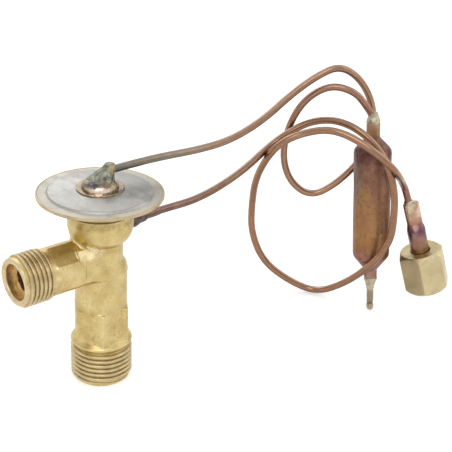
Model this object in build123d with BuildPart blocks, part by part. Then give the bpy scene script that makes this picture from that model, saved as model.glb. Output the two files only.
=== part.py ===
"""Thermostatic expansion valve of the angle kind, with an external equaliser.

Frame: the origin is the middle of the outlet's end face, +Z runs up the valve's stem, the inlet
branch points along -X, and both copper tubes leave along +X. All sizes are millimetres.
"""
import math
import os

from build123d import *

os.makedirs("parts", exist_ok=True)

# ---- stem of the valve body ------------------------------------------------------------------
OUTLET_R = 9.525            # crest of the 3/4-16 outlet thread
OUTLET_LENGTH = 12.9        # threaded length, up to the shoulder under the wrench hexagon
OUTLET_LEAD = 0.8           # lead chamfer on the outlet thread
HEX_AF = 15.875             # wrench hexagon on the stem, 5/8 inch across flats
HEX_TOP = 25.65
HEX_CROWN = 0.65            # height over which the hexagon's upper corners are turned away
STEM_R = 8.05
STEM_TOP = 38.5
NECK_R = 6.4
NECK_BOTTOM = 41.0
NECK_SHOULDER_ARC_R = 3.4
NECK_GUSSET_R = 5.5         # end radius of the neck where it swells towards the branch
NECK_GUSSET_X = -3.4
FLANGE_R = 9.95
FLANGE_BOWL_BOTTOM = 47.5
FLANGE_BOWL_TOP = 51.05
FLANGE_BOWL_ARC_R = 5.6
BODY_TOP = 57.0

# ---- inlet branch ----------------------------------------------------------------------------
BRANCH_Z = 41.88            # height of the branch's axis
BRANCH_AF = 13.7
BRANCH_TURN = 30            # degrees that set two of the branch's flats upright
BRANCH_LENGTH = 19.46       # from the stem's axis to the thread
INLET_R = 7.9375            # crest of the 5/8-18 inlet thread
INLET_LENGTH = 10.7
INLET_NOSE = 0.45           # rounding of the inlet's front rim
INLET_MOUTH_R = 5.4
INLET_MOUTH_DEPTH = 3.2
INLET_MOUTH_BEVEL = 0.5
INLET_BORE_R = 3.7
INLET_BORE_END = 3.0        # how far the bore runs past the stem's axis
INLET_BORE_CONE = 1.0       # depth of the drill's cone at the bore's end

# ---- bores of the stem -----------------------------------------------------------------------
OUTLET_BORE_R = 5.6
OUTLET_MOUTH_R = 7.2
OUTLET_MOUTH_DEPTH = 3.0
SEAT_Z = 34.0               # the edge that the ball closes on
CHAMBER_BEVEL = 1.0         # bevel between the spring chamber and the seat's face
ORIFICE_R = 1.5
PIN_R = 0.8
PIN_CLEARANCE = 0.1
PACKING_R = 2.2
PACKING_DEPTH = 2.6
GLAND_HEIGHT = 0.7

# ---- moving valve ----------------------------------------------------------------------------
BALL_R = 2.0
SEAT_CLEARANCE = 0.05
CARRIER_R = 4.6
CARRIER_CUP_R = 3.0
CARRIER_CUP_FLOOR = 0.75     # brass under the ball
CARRIER_PILOT_R = 2.4
CARRIER_FLANGE = 1.5
CARRIER_PILOT = 2.0
SPRING_MEAN_R = 3.9
SPRING_WIRE_R = 0.5
SPRING_TURNS = 6.5
SPRING_BOTTOM = 13.5
SPRING_SEAT_R = 5.1
SPRING_SEAT_HEIGHT = 1.3
SCREW_HEIGHT = 4.4
SCREW_CLEARANCE = 0.08
SCREW_SOCKET_AF = 4.0
SCREW_SOCKET_DEPTH = 3.0
SCREW_PORT_R = 0.8
SCREW_PORT_CIRCLE_R = 3.9
SCREW_PORT_COUNT = 6

# ---- diaphragm head --------------------------------------------------------------------------
HEAD_R = 19.05
COVER_WALL = 0.45
DIAPHRAGM_WALL = 0.1
LOWER_COVER_HEIGHT = 4.93    # from the body's top face to the underside of the rim
COVER_STEP_R = 16.0
LOWER_COVER_HOLE_R = 7.4
LOWER_COVER_SEAT_R = 9.6
PLATEAU_RISE = 0.57
PLATEAU_INSET = 0.6          # width of the slope between the cover's step and its plateau
CROWN_RISE = 1.27            # from the rim's top to the crown under the dome
PLATE_R = 9.0
PLATE_HEIGHT = 1.2
PLATE_CHAMFER = 0.4
DOME_BASE_R = 7.25
DOME_BASE_HEIGHT = 0.4
DOME_R = 5.0
DOME_HEIGHT = 3.2
DOME_FLAT_R = 2.5           # flat on the dome's crown, under the solder
DOME_ARC_R = 3.84
DOME_WALL = 0.7
SOLDER_BASE_R = 4.2
SOLDER_TOP_R = 1.9
SOLDER_HEIGHT = 4.2
SOLDER_LEAN = 0.9

# ---- tubes -----------------------------------------------------------------------------------
CAPILLARY_R = 1.175
EQUALISER_R = 1.2
BEND_SHARE = 0.45           # share of the shorter run that a bend takes up
CAPILLARY_RISE = 1.6        # from the dome's crown to the capillary where it leaves the head
EQUALISER_LEVEL = 50.9      # height of the equaliser port
EQUALISER_START = 8.0
CUFF_R = 2.75
CUFF_START = 8.0
CUFF_END = 16.5
CUFF_ROUNDING = 0.7
CUFF_SOLDER_LENGTH = 6.0
CUFF_SOLDER_BASE_R = 1.92
CUFF_SOLDER_TIP_R = 1.5
EQUALISER_DRILLING_R = 0.7
EQUALISER_RISER_X = 5.0

# Corner points of the capillary, from the head to the bulb, after its first upright run.
CAPILLARY_POINTS = [
    (10, 0, 69.1), (22, 0, 68.9), (37, 0, 67.8), (49.5, -0.8, 68.5), (62, -2, 73), (73, -3, 80),
    (81.5, -5.5, 85.4), (88, -9.5, 89), (96, -12, 83.5), (101.5, -13.5, 74), (103.5, -13, 64),
    (101, -11.5, 53.7), (94, -7, 44.5), (87, -2, 39.5), (80, 2, 45.5), (76.5, 3, 56), (77, 1, 68),
    (80, -3, 77.5), (85, -9, 82.8), (90.5, -15, 81), (93.8, -17.6, 76),
]
# Corner points of the equaliser tube, from its port to the flare stub.
EQUALISER_POINTS = [
    (24, 0, 50.95), (38, 0, 50.7), (55, 0, 55.3), (70, 2.5, 61), (76, -1.5, 66.5), (81.5, -6, 70.2),
    (85, -14, 72), (87.5, -23.5, 69.8), (91.7, -30.2, 62), (93.8, -33.5, 51.6), (95, -33.5, 41),
    (95.5, -32.5, 31.5), (92.5, -27.5, 21.3), (93.7, -15.8, 9.2), (93, -3.5, 0.2), (85.8, 3.2, 4.2),
    (76.5, 9.5, 12), (72.5, 12, 24.5), (71, 10.8, 36), (67.8, 6.1, 48.8), (66.3, -2, 61),
    (69.6, -5.2, 65.5), (74.5, -9, 68.3), (78, -16, 71), (81.5, -23, 70), (86, -31, 65.6),
    (90.3, -34.8, 61), (96.3, -34.3, 56.3), (101.5, -31, 52.3),
]

# ---- sensing bulb ----------------------------------------------------------------------------
BULB_TIP = (100, -23, 0.1)
BULB_AXIS = (-0.0585, 0.0515, 0.997)
BULB_R = 6.35
BULB_NECK_R = 2.3
BULB_ROUNDING = 1.6         # rounding where the cone, the barrel and the shoulder meet
CHARGE_TUBE_R = 1.05
CHARGE_TUBE_TIP_R = 0.95    # end of the pinched tip
CHARGE_TUBE_PINCH_R = 1.35  # swelling of the pinched tip, and where it starts and ends
CHARGE_TUBE_PINCH_START = 0.55
CHARGE_TUBE_PINCH_END = 1.55
CHARGE_TUBE_PINCH_TAPER = 1.3
CHARGE_TUBE_LENGTH = 9.4
BOTTOM_SOLDER_R = 1.37
BOTTOM_SOLDER_LENGTH = 3.4
BULB_BOTTOM_NECK = 3.4
BULB_CONE = 5.7
BULB_BARREL = 39.0
BULB_SHOULDER = 4.6
BULB_TOP_NECK = 5.6
TOP_SOLDER_LENGTH = 2.8
TOP_SOLDER_R = 2.07
TOP_SOLDER_RISE = 1.1
TOP_SOLDER_TIP_R = 1.7
TUBE_SOCKET_DEPTH = 4.0

# ---- flare stub and nut ----------------------------------------------------------------------
STUB_TOP = (106.1, -30.7, 43.0)
STUB_AXIS = (-0.2142, 0.1882, 0.9585)   # points up the stub, towards the equaliser tube
STUB_R = 3.175              # 1/4 inch tube
STUB_WALL = 0.8
STUB_CRIMP_LENGTH = 7.8
STUB_CRIMP_TAPER = 2.6
STUB_CRIMP_WIDTH = 4.7
STUB_CRIMP_THICKNESS = 3.4
STUB_ENTRY_OFFSET = 0.6     # the equaliser tube enters beside the crimp's middle
STUB_ENTRY_DEPTH = 6.0
STUB_SOLDER_R = 1.68
STUB_SOLDER_HEIGHT = 1.2
STUB_SOLDER_ROUNDING = 0.36
STUB_TO_NUT = 18.4
NUT_AF = 14.29              # 9/16 inch across flats
NUT_LENGTH = 15.0
NUT_HOLE_R = 3.275
NUT_HOLE_DEPTH = 5.0
NUT_THREAD_R = 4.95
NUT_RELIEF_R = 5.3
NUT_RELIEF_LENGTH = 0.8
NUT_CROWN = 0.9
NUT_FACE_INSET = 0.25       # from the flats to the turned end faces
NUT_TURN = 18               # degrees from the crimp's width to a corner of the nut
NUT_MOUTH_BEVEL = 0.6
FLARE_GAP = 0.12
FLARE_LIP_GAP = 0.4         # from the flare's lip to the nut's thread


def section_plane(origin, axis):
    """Plane that holds an axis: its local Y runs along the axis, its local X is the radius."""
    up = Vector(*axis).normalized()
    side = up.cross(Vector(0, 0, 1))
    side = Vector(1, 0, 0) if side.length < 1e-6 else side.normalized()
    return Plane(origin=Vector(*origin), x_dir=side, z_dir=side.cross(up))


def bend_radii(points):
    """Bend radius at each inner corner: as large as its two straight runs allow."""
    corners = [Vector(*point) for point in points]
    radii = []
    for before, corner, after in zip(corners, corners[1:], corners[2:]):
        arriving, leaving = corner - before, after - corner
        half_turn = math.radians(arriving.get_angle(leaving)) / 2
        radii.append(BEND_SHARE * min(arriving.length, leaving.length) / math.tan(half_turn))
    return radii


def along(origin, axis, distance):
    """Point at a distance along an axis."""
    return Vector(*origin) + Vector(*axis).normalized() * distance


STEM_SECTION = Plane.XZ     # local X is the radius, local Y the height
HEX_CORNER_R = HEX_AF / math.sqrt(3)
SHOULDER_Z = OUTLET_LENGTH
SHOULDER_TOP = SHOULDER_Z + OUTLET_R - HEX_AF / 2
INLET_FACE = BRANCH_LENGTH + INLET_LENGTH     # from the stem's axis to the inlet's end face

# ---- blanks that are joined to the body ------------------------------------------------------
with BuildPart() as stem_hexagon:
    with BuildSketch(Plane.XY.offset(SHOULDER_Z)):
        RegularPolygon(HEX_AF / 2, 6, major_radius=False)
    extrude(amount=HEX_TOP - SHOULDER_Z)
    with BuildSketch(STEM_SECTION):
        with BuildLine():
            Polyline((0, SHOULDER_Z), (HEX_CORNER_R, SHOULDER_Z), (HEX_CORNER_R, HEX_TOP - HEX_CROWN),
                     (STEM_R, HEX_TOP), (0, HEX_TOP), close=True)
        make_face()
    revolve(axis=Axis.Z, mode=Mode.INTERSECT)

with BuildPart() as branch_blank:
    with BuildSketch(Plane(origin=(0, 0, BRANCH_Z), x_dir=(0, 1, 0), z_dir=(-1, 0, 0))):
        RegularPolygon(BRANCH_AF / 2, 6, major_radius=False, rotation=BRANCH_TURN)
    extrude(amount=BRANCH_LENGTH)
    with BuildSketch(Plane(origin=(-BRANCH_LENGTH, 0, BRANCH_Z), x_dir=(0, 1, 0), z_dir=(-1, 0, 0))):
        Circle(INLET_R)
    extrude(amount=INLET_LENGTH)
    fillet(branch_blank.edges().group_by(Axis.X)[0], INLET_NOSE)

with BuildPart() as neck_blank:
    with BuildSketch(Plane.XY.offset(STEM_TOP)):
        Circle(NECK_R)
        with Locations((NECK_GUSSET_X, 0)):
            Circle(NECK_GUSSET_R)
        make_hull()
    extrude(amount=FLANGE_BOWL_TOP - STEM_TOP)

# ---- body ------------------------------------------------------------------------------------
with BuildPart() as valve_body:
    with BuildSketch(STEM_SECTION):
        with BuildLine():
            Polyline((0, 0), (OUTLET_R - OUTLET_LEAD, 0), (OUTLET_R, OUTLET_LEAD), (OUTLET_R, SHOULDER_Z),
                     (HEX_AF / 2, SHOULDER_TOP), (HEX_AF / 2, HEX_TOP), (STEM_R, HEX_TOP),
                     (STEM_R, STEM_TOP))
            RadiusArc((STEM_R, STEM_TOP), (NECK_R, NECK_BOTTOM), -NECK_SHOULDER_ARC_R)
            Line((NECK_R, NECK_BOTTOM), (NECK_R, FLANGE_BOWL_BOTTOM))
            RadiusArc((NECK_R, FLANGE_BOWL_BOTTOM), (FLANGE_R, FLANGE_BOWL_TOP), FLANGE_BOWL_ARC_R)
            Polyline((FLANGE_R, FLANGE_BOWL_TOP), (FLANGE_R, BODY_TOP), (0, BODY_TOP), (0, 0))
        make_face()
    revolve(axis=Axis.Z)
    add(stem_hexagon.part)
    add(branch_blank.part)
    add(neck_blank.part)
    # outlet: mouth, spring chamber and orifice
    with BuildSketch(STEM_SECTION):
        with BuildLine():
            Polyline((0, 0), (OUTLET_MOUTH_R, 0), (OUTLET_MOUTH_R, OUTLET_MOUTH_DEPTH),
                     (OUTLET_BORE_R, OUTLET_MOUTH_DEPTH + OUTLET_MOUTH_R - OUTLET_BORE_R),
                     (OUTLET_BORE_R, SEAT_Z - CHAMBER_BEVEL), (OUTLET_BORE_R - CHAMBER_BEVEL, SEAT_Z),
                     (ORIFICE_R, SEAT_Z),
                     (ORIFICE_R, BRANCH_Z), (0, BRANCH_Z), close=True)
        make_face()
    revolve(axis=Axis.Z, mode=Mode.SUBTRACT)
    # pin guide, packing recess
    with BuildSketch(STEM_SECTION):
        with BuildLine():
            Polyline((0, BRANCH_Z), (PIN_R + PIN_CLEARANCE, BRANCH_Z),
                     (PIN_R + PIN_CLEARANCE, BODY_TOP - PACKING_DEPTH),
                     (PACKING_R, BODY_TOP - PACKING_DEPTH), (PACKING_R, BODY_TOP), (0, BODY_TOP), close=True)
        make_face()
    revolve(axis=Axis.Z, mode=Mode.SUBTRACT)
    # inlet: mouth, step and bore
    with BuildSketch(Plane(origin=(0, 0, BRANCH_Z), x_dir=(0, 1, 0), z_dir=(0, 0, 1))):
        with BuildLine():
            Polyline((0, INLET_FACE), (INLET_MOUTH_R + INLET_MOUTH_BEVEL, INLET_FACE),
                     (INLET_MOUTH_R, INLET_FACE - INLET_MOUTH_BEVEL),
                     (INLET_MOUTH_R, INLET_FACE - INLET_MOUTH_DEPTH),
                     (INLET_BORE_R, INLET_FACE - INLET_MOUTH_DEPTH), (INLET_BORE_R, -INLET_BORE_END),
                     (0, -INLET_BORE_END - INLET_BORE_CONE), close=True)
        make_face()
    revolve(axis=Axis((0, 0, BRANCH_Z), (1, 0, 0)), mode=Mode.SUBTRACT)
    # equaliser port, its drilling and its riser to the head
    with BuildSketch(Plane(origin=(CUFF_START, 0, EQUALISER_LEVEL), z_dir=(1, 0, 0))):
        Circle(CUFF_R)
    extrude(amount=FLANGE_R, mode=Mode.SUBTRACT)
    with BuildSketch(Plane(origin=(EQUALISER_RISER_X, 0, EQUALISER_LEVEL), z_dir=(1, 0, 0))):
        Circle(EQUALISER_DRILLING_R)
    extrude(amount=CUFF_START, mode=Mode.SUBTRACT)
    with BuildSketch(Plane.XY.offset(EQUALISER_LEVEL)):
        with Locations((EQUALISER_RISER_X, 0)):
            Circle(EQUALISER_DRILLING_R)
    extrude(amount=BODY_TOP - EQUALISER_LEVEL, mode=Mode.SUBTRACT)
valve_body.part.label = "valve_body"
export_step(valve_body.part, "parts/valve_body.step")

# ---- diaphragm head --------------------------------------------------------------------------
RIM_BOTTOM = BODY_TOP + LOWER_COVER_HEIGHT
DIAPHRAGM_BOTTOM = RIM_BOTTOM + COVER_WALL
DIAPHRAGM_TOP = DIAPHRAGM_BOTTOM + DIAPHRAGM_WALL
RIM_TOP = DIAPHRAGM_TOP + COVER_WALL
CROWN_Z = RIM_TOP + CROWN_RISE
DOME_CROWN = CROWN_Z + DOME_HEIGHT
PLATEAU_R = COVER_STEP_R - PLATEAU_INSET
CAPILLARY_LEVEL = DOME_CROWN + CAPILLARY_RISE

with BuildPart() as lower_cover:
    with BuildSketch(STEM_SECTION):
        with BuildLine():
            Polyline((LOWER_COVER_HOLE_R, BODY_TOP), (LOWER_COVER_SEAT_R, BODY_TOP),
                     (COVER_STEP_R, RIM_BOTTOM), (HEAD_R, RIM_BOTTOM), (HEAD_R, DIAPHRAGM_BOTTOM),
                     (COVER_STEP_R - COVER_WALL / 2, DIAPHRAGM_BOTTOM),
                     (LOWER_COVER_SEAT_R - COVER_WALL / 2, BODY_TOP + COVER_WALL),
                     (LOWER_COVER_HOLE_R, BODY_TOP + COVER_WALL), close=True)
        make_face()
    revolve(axis=Axis.Z)
lower_cover.part.label = "lower_cover"
export_step(lower_cover.part, "parts/lower_cover.step")

with BuildPart() as diaphragm:
    with BuildSketch(Plane.XY.offset(DIAPHRAGM_BOTTOM)):
        Circle(HEAD_R)
    extrude(amount=DIAPHRAGM_WALL)
diaphragm.part.label = "diaphragm"
export_step(diaphragm.part, "parts/diaphragm.step")

with BuildPart() as upper_cover:
    with BuildSketch(STEM_SECTION):
        with BuildLine():
            Polyline((HEAD_R, DIAPHRAGM_TOP), (HEAD_R, RIM_TOP), (COVER_STEP_R, RIM_TOP),
                     (PLATEAU_R, RIM_TOP + PLATEAU_RISE), (DOME_BASE_R, CROWN_Z),
                     (DOME_R - DOME_WALL, CROWN_Z), (DOME_R - DOME_WALL, CROWN_Z - COVER_WALL),
                     (DOME_BASE_R, CROWN_Z - COVER_WALL), (PLATEAU_R, RIM_TOP + PLATEAU_RISE - COVER_WALL),
                     (COVER_STEP_R - COVER_WALL / 2, DIAPHRAGM_TOP), close=True)
        make_face()
    revolve(axis=Axis.Z)
upper_cover.part.label = "upper_cover"
export_step(upper_cover.part, "parts/upper_cover.step")

# ---- capillary tube: made first, because the head, its solder and the bulb are cut to it -------
BULB_NECK_TOP = (CHARGE_TUBE_LENGTH + BOTTOM_SOLDER_LENGTH + BULB_BOTTOM_NECK + BULB_CONE
                 + BULB_BARREL + BULB_SHOULDER + BULB_TOP_NECK)
CAPILLARY_START = CROWN_Z
bulb_entry = along(BULB_TIP, BULB_AXIS, BULB_NECK_TOP + TOP_SOLDER_LENGTH / 2)
bulb_inside = along(BULB_TIP, BULB_AXIS, BULB_NECK_TOP - TUBE_SOCKET_DEPTH)
capillary_corners = ([(0, 0, CAPILLARY_START), (0, 0, CAPILLARY_LEVEL)] + CAPILLARY_POINTS
                     + [tuple(bulb_entry), tuple(bulb_inside)])
with BuildPart() as capillary_tube:
    with BuildLine() as capillary_path:
        FilletPolyline(*capillary_corners, radius=bend_radii(capillary_corners))
    with BuildSketch(Plane(origin=capillary_path.line @ 0, z_dir=capillary_path.line % 0)):
        Circle(CAPILLARY_R)
    sweep()
capillary_tube.part.label = "capillary_tube"
export_step(capillary_tube.part, "parts/capillary_tube.step")

with BuildPart() as dome_blank:
    with BuildSketch(STEM_SECTION):
        with BuildLine():
            Polyline((0, DOME_CROWN), (0, CROWN_Z), (DOME_BASE_R, CROWN_Z),
                     (DOME_BASE_R, CROWN_Z + DOME_BASE_HEIGHT), (DOME_R, CROWN_Z + DOME_BASE_HEIGHT))
            RadiusArc((DOME_R, CROWN_Z + DOME_BASE_HEIGHT), (DOME_FLAT_R, DOME_CROWN), -DOME_ARC_R)
            Line((DOME_FLAT_R, DOME_CROWN), (0, DOME_CROWN))
        make_face()
    revolve(axis=Axis.Z)

DOME_CHAMBER_R = DOME_R - DOME_WALL
with BuildPart() as capillary_boss:
    add(dome_blank.part)
    with BuildSketch(STEM_SECTION):
        with BuildLine():
            Polyline((0, CROWN_Z), (DOME_CHAMBER_R, CROWN_Z), (DOME_CHAMBER_R / 2, DOME_CROWN - DOME_WALL),
                     (0, DOME_CROWN - DOME_WALL), close=True)
        make_face()
    revolve(axis=Axis.Z, mode=Mode.SUBTRACT)
    with BuildSketch(Plane.XY.offset(CROWN_Z)):
        Circle(CAPILLARY_R)
    extrude(amount=DOME_HEIGHT + DOME_WALL, mode=Mode.SUBTRACT)
capillary_boss.part.label = "capillary_boss"
export_step(capillary_boss.part, "parts/capillary_boss.step")

SOLDER_BASE_Z = DOME_CROWN - DOME_WALL
with BuildPart() as head_solder:
    with BuildSketch(Plane.XY.offset(SOLDER_BASE_Z)):
        Circle(SOLDER_BASE_R)
    with BuildSketch(Plane.XY.offset(SOLDER_BASE_Z + SOLDER_HEIGHT / 2)):
        with Locations((SOLDER_LEAN, 0)):
            Circle((SOLDER_BASE_R + SOLDER_TOP_R) / 2)
    with BuildSketch(Plane.XY.offset(SOLDER_BASE_Z + SOLDER_HEIGHT)):
        with Locations((SOLDER_LEAN, 0)):
            Circle(SOLDER_TOP_R)
    loft()
    add(dome_blank.part, mode=Mode.SUBTRACT)
    add(capillary_tube.part, mode=Mode.SUBTRACT)
head_solder.part.label = "head_solder"
export_step(head_solder.part, "parts/head_solder.step")

# ---- moving valve: plate, push pin, ball and its carrier -------------------------------------
PLATE_BOTTOM = DIAPHRAGM_BOTTOM - PLATE_HEIGHT
with BuildPart() as thrust_plate:
    with BuildSketch(Plane.XY.offset(PLATE_BOTTOM)):
        Circle(PLATE_R)
    extrude(amount=PLATE_HEIGHT)
    chamfer(thrust_plate.edges().group_by(Axis.Z)[0], PLATE_CHAMFER)
thrust_plate.part.label = "thrust_plate"
export_step(thrust_plate.part, "parts/thrust_plate.step")

BALL_Z = SEAT_Z - math.sqrt(BALL_R**2 - ORIFICE_R**2) - SEAT_CLEARANCE
with BuildPart() as valve_ball:
    with Locations((0, 0, BALL_Z)):
        Sphere(BALL_R)
valve_ball.part.label = "valve_ball"
export_step(valve_ball.part, "parts/valve_ball.step")

with BuildPart() as push_pin:
    with BuildSketch(Plane.XY.offset(BALL_Z + BALL_R)):
        Circle(PIN_R)
    extrude(amount=PLATE_BOTTOM - BALL_Z - BALL_R)
push_pin.part.label = "push_pin"
export_step(push_pin.part, "parts/push_pin.step")

CARRIER_CUP_TOP = BALL_Z
CARRIER_CUP_BOTTOM = BALL_Z - BALL_R - CARRIER_CUP_FLOOR
CARRIER_FLANGE_BOTTOM = CARRIER_CUP_BOTTOM - CARRIER_FLANGE
with BuildPart() as ball_carrier:
    with BuildSketch(STEM_SECTION):
        with BuildLine():
            Polyline((0, CARRIER_FLANGE_BOTTOM - CARRIER_PILOT),
                     (CARRIER_PILOT_R, CARRIER_FLANGE_BOTTOM - CARRIER_PILOT),
                     (CARRIER_PILOT_R, CARRIER_FLANGE_BOTTOM), (CARRIER_R, CARRIER_FLANGE_BOTTOM),
                     (CARRIER_R, CARRIER_CUP_BOTTOM), (CARRIER_CUP_R, CARRIER_CUP_BOTTOM),
                     (CARRIER_CUP_R, CARRIER_CUP_TOP), (0, CARRIER_CUP_TOP), close=True)
        make_face()
    revolve(axis=Axis.Z)
    add(valve_ball.part, mode=Mode.SUBTRACT)
ball_carrier.part.label = "ball_carrier"
export_step(ball_carrier.part, "parts/ball_carrier.step")

SPRING_RISE = CARRIER_FLANGE_BOTTOM - SPRING_BOTTOM - 2 * SPRING_WIRE_R
with BuildPart() as superheat_spring:
    with BuildLine() as spring_path:
        Helix(pitch=SPRING_RISE / SPRING_TURNS, height=SPRING_RISE, radius=SPRING_MEAN_R,
              center=(0, 0, SPRING_BOTTOM + SPRING_WIRE_R))
    with BuildSketch(Plane(origin=spring_path.line @ 0, z_dir=spring_path.line % 0)):
        Circle(SPRING_WIRE_R)
    sweep(is_frenet=True)
superheat_spring.part.label = "superheat_spring"
export_step(superheat_spring.part, "parts/superheat_spring.step")

# ---- packing and gland round the pin ---------------------------------------------------------
with BuildPart() as pin_packing:
    with BuildSketch(Plane.XY.offset(BODY_TOP - PACKING_DEPTH)):
        Circle(PACKING_R)
        Circle(PIN_R + PIN_CLEARANCE, mode=Mode.SUBTRACT)
    extrude(amount=PACKING_DEPTH - GLAND_HEIGHT)
pin_packing.part.label = "pin_packing"
export_step(pin_packing.part, "parts/pin_packing.step")

with BuildPart() as packing_gland:
    with BuildSketch(Plane.XY.offset(BODY_TOP - GLAND_HEIGHT)):
        Circle(PACKING_R)
        Circle(PIN_R + PIN_CLEARANCE, mode=Mode.SUBTRACT)
    extrude(amount=GLAND_HEIGHT)
packing_gland.part.label = "packing_gland"
export_step(packing_gland.part, "parts/packing_gland.step")

# ---- adjuster: spring seat and ported screw --------------------------------------------------
SEAT_BOTTOM = SPRING_BOTTOM - SPRING_SEAT_HEIGHT
with BuildPart() as spring_seat:
    with BuildSketch(STEM_SECTION):
        with BuildLine():
            Polyline((ORIFICE_R, SEAT_BOTTOM), (SPRING_SEAT_R, SEAT_BOTTOM), (SPRING_SEAT_R, SPRING_BOTTOM),
                     (SPRING_MEAN_R - SPRING_WIRE_R, SPRING_BOTTOM),
                     (CARRIER_PILOT_R, SPRING_BOTTOM + SPRING_SEAT_HEIGHT),
                     (ORIFICE_R, SPRING_BOTTOM + SPRING_SEAT_HEIGHT), close=True)
        make_face()
    revolve(axis=Axis.Z)
spring_seat.part.label = "spring_seat"
export_step(spring_seat.part, "parts/spring_seat.step")

SCREW_BOTTOM = SEAT_BOTTOM - SCREW_HEIGHT
with BuildPart() as adjusting_screw:
    with BuildSketch(Plane.XY.offset(SCREW_BOTTOM)):
        Circle(OUTLET_BORE_R - SCREW_CLEARANCE)
        with PolarLocations(SCREW_PORT_CIRCLE_R, SCREW_PORT_COUNT):
            Circle(SCREW_PORT_R, mode=Mode.SUBTRACT)
    extrude(amount=SCREW_HEIGHT)
    with BuildSketch(Plane.XY.offset(SCREW_BOTTOM)):
        RegularPolygon(SCREW_SOCKET_AF / 2, 6, major_radius=False)
    extrude(amount=SCREW_SOCKET_DEPTH, mode=Mode.SUBTRACT)
adjusting_screw.part.label = "adjusting_screw"
export_step(adjusting_screw.part, "parts/adjusting_screw.step")

# ---- equaliser tube, its cuff and solder -----------------------------------------------------
stub_section = section_plane(STUB_TOP, STUB_AXIS)
stub_entry = Vector(*STUB_TOP) - stub_section.z_dir * STUB_ENTRY_OFFSET
stub_entry_corner = along(tuple(stub_entry), STUB_AXIS, STUB_ENTRY_DEPTH)
stub_inside = along(tuple(stub_entry), STUB_AXIS, -STUB_ENTRY_DEPTH)
equaliser_corners = ([(EQUALISER_START, 0, EQUALISER_LEVEL)] + EQUALISER_POINTS
                     + [tuple(stub_entry_corner), tuple(stub_inside)])
with BuildPart() as equaliser_tube:
    with BuildLine() as equaliser_path:
        FilletPolyline(*equaliser_corners, radius=bend_radii(equaliser_corners))
    with BuildSketch(Plane(origin=equaliser_path.line @ 0, z_dir=equaliser_path.line % 0)):
        Circle(EQUALISER_R)
    sweep()
equaliser_tube.part.label = "equaliser_tube"
export_step(equaliser_tube.part, "parts/equaliser_tube.step")

with BuildPart() as equaliser_cuff:
    with BuildSketch(Plane(origin=(CUFF_START, 0, EQUALISER_LEVEL), z_dir=(1, 0, 0))):
        Circle(CUFF_R)
    extrude(amount=CUFF_END - CUFF_START)
    fillet(equaliser_cuff.edges().group_by(Axis.X)[-1], CUFF_ROUNDING)
    add(equaliser_tube.part, mode=Mode.SUBTRACT)
equaliser_cuff.part.label = "equaliser_cuff"
export_step(equaliser_cuff.part, "parts/equaliser_cuff.step")

with BuildPart() as equaliser_solder:
    with BuildSketch(Plane(origin=(CUFF_END, 0, EQUALISER_LEVEL), z_dir=(1, 0, 0))):
        Circle(CUFF_SOLDER_BASE_R)
    with BuildSketch(Plane(origin=(CUFF_END + CUFF_SOLDER_LENGTH, 0, EQUALISER_LEVEL), z_dir=(1, 0, 0))):
        Circle(CUFF_SOLDER_TIP_R)
    loft()
    add(equaliser_tube.part, mode=Mode.SUBTRACT)
equaliser_solder.part.label = "equaliser_solder"
export_step(equaliser_solder.part, "parts/equaliser_solder.step")

# ---- sensing bulb ----------------------------------------------------------------------------
BULB_BOTTOM = CHARGE_TUBE_LENGTH + BOTTOM_SOLDER_LENGTH
CONE_BOTTOM = BULB_BOTTOM + BULB_BOTTOM_NECK
BARREL_BOTTOM = CONE_BOTTOM + BULB_CONE
BARREL_TOP = BARREL_BOTTOM + BULB_BARREL
SHOULDER_END = BARREL_TOP + BULB_SHOULDER
bulb_section = section_plane(BULB_TIP, BULB_AXIS)
bulb_axis = Axis(Vector(*BULB_TIP), Vector(*BULB_AXIS))

with BuildPart() as bulb_shell:
    with BuildSketch(bulb_section):
        with BuildLine():
            FilletPolyline((BULB_NECK_R, BULB_BOTTOM), (BULB_NECK_R, CONE_BOTTOM), (BULB_R, BARREL_BOTTOM),
                           (BULB_R, BARREL_TOP), (BULB_NECK_R, SHOULDER_END), (BULB_NECK_R, BULB_NECK_TOP),
                           radius=BULB_ROUNDING)
            Polyline((BULB_NECK_R, BULB_NECK_TOP), (0, BULB_NECK_TOP), (0, BULB_BOTTOM),
                     (BULB_NECK_R, BULB_BOTTOM))
        make_face()
    revolve(axis=bulb_axis)
    with BuildSketch(Plane(origin=along(BULB_TIP, BULB_AXIS, BULB_BOTTOM), z_dir=BULB_AXIS)):
        Circle(CHARGE_TUBE_R)
    extrude(amount=TUBE_SOCKET_DEPTH, mode=Mode.SUBTRACT)
    add(capillary_tube.part, mode=Mode.SUBTRACT)
bulb_shell.part.label = "bulb_shell"
export_step(bulb_shell.part, "parts/bulb_shell.step")

with BuildPart() as charge_tube:
    with BuildSketch(bulb_section):
        with BuildLine():
            Polyline((0, 0), (CHARGE_TUBE_TIP_R, 0), (CHARGE_TUBE_PINCH_R, CHARGE_TUBE_PINCH_START),
                     (CHARGE_TUBE_PINCH_R, CHARGE_TUBE_PINCH_END),
                     (CHARGE_TUBE_R, CHARGE_TUBE_PINCH_END + CHARGE_TUBE_PINCH_TAPER),
                     (CHARGE_TUBE_R, BULB_BOTTOM + TUBE_SOCKET_DEPTH), (0, BULB_BOTTOM + TUBE_SOCKET_DEPTH),
                     close=True)
        make_face()
    revolve(axis=bulb_axis)
charge_tube.part.label = "charge_tube"
export_step(charge_tube.part, "parts/charge_tube.step")

with BuildPart() as charge_tube_solder:
    with BuildSketch(bulb_section):
        with BuildLine():
            Polyline((CHARGE_TUBE_R, CHARGE_TUBE_LENGTH), (BOTTOM_SOLDER_R, CHARGE_TUBE_LENGTH),
                     (BULB_NECK_R, BULB_BOTTOM), (CHARGE_TUBE_R, BULB_BOTTOM), close=True)
        make_face()
    revolve(axis=bulb_axis)
charge_tube_solder.part.label = "charge_tube_solder"
export_step(charge_tube_solder.part, "parts/charge_tube_solder.step")

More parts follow.
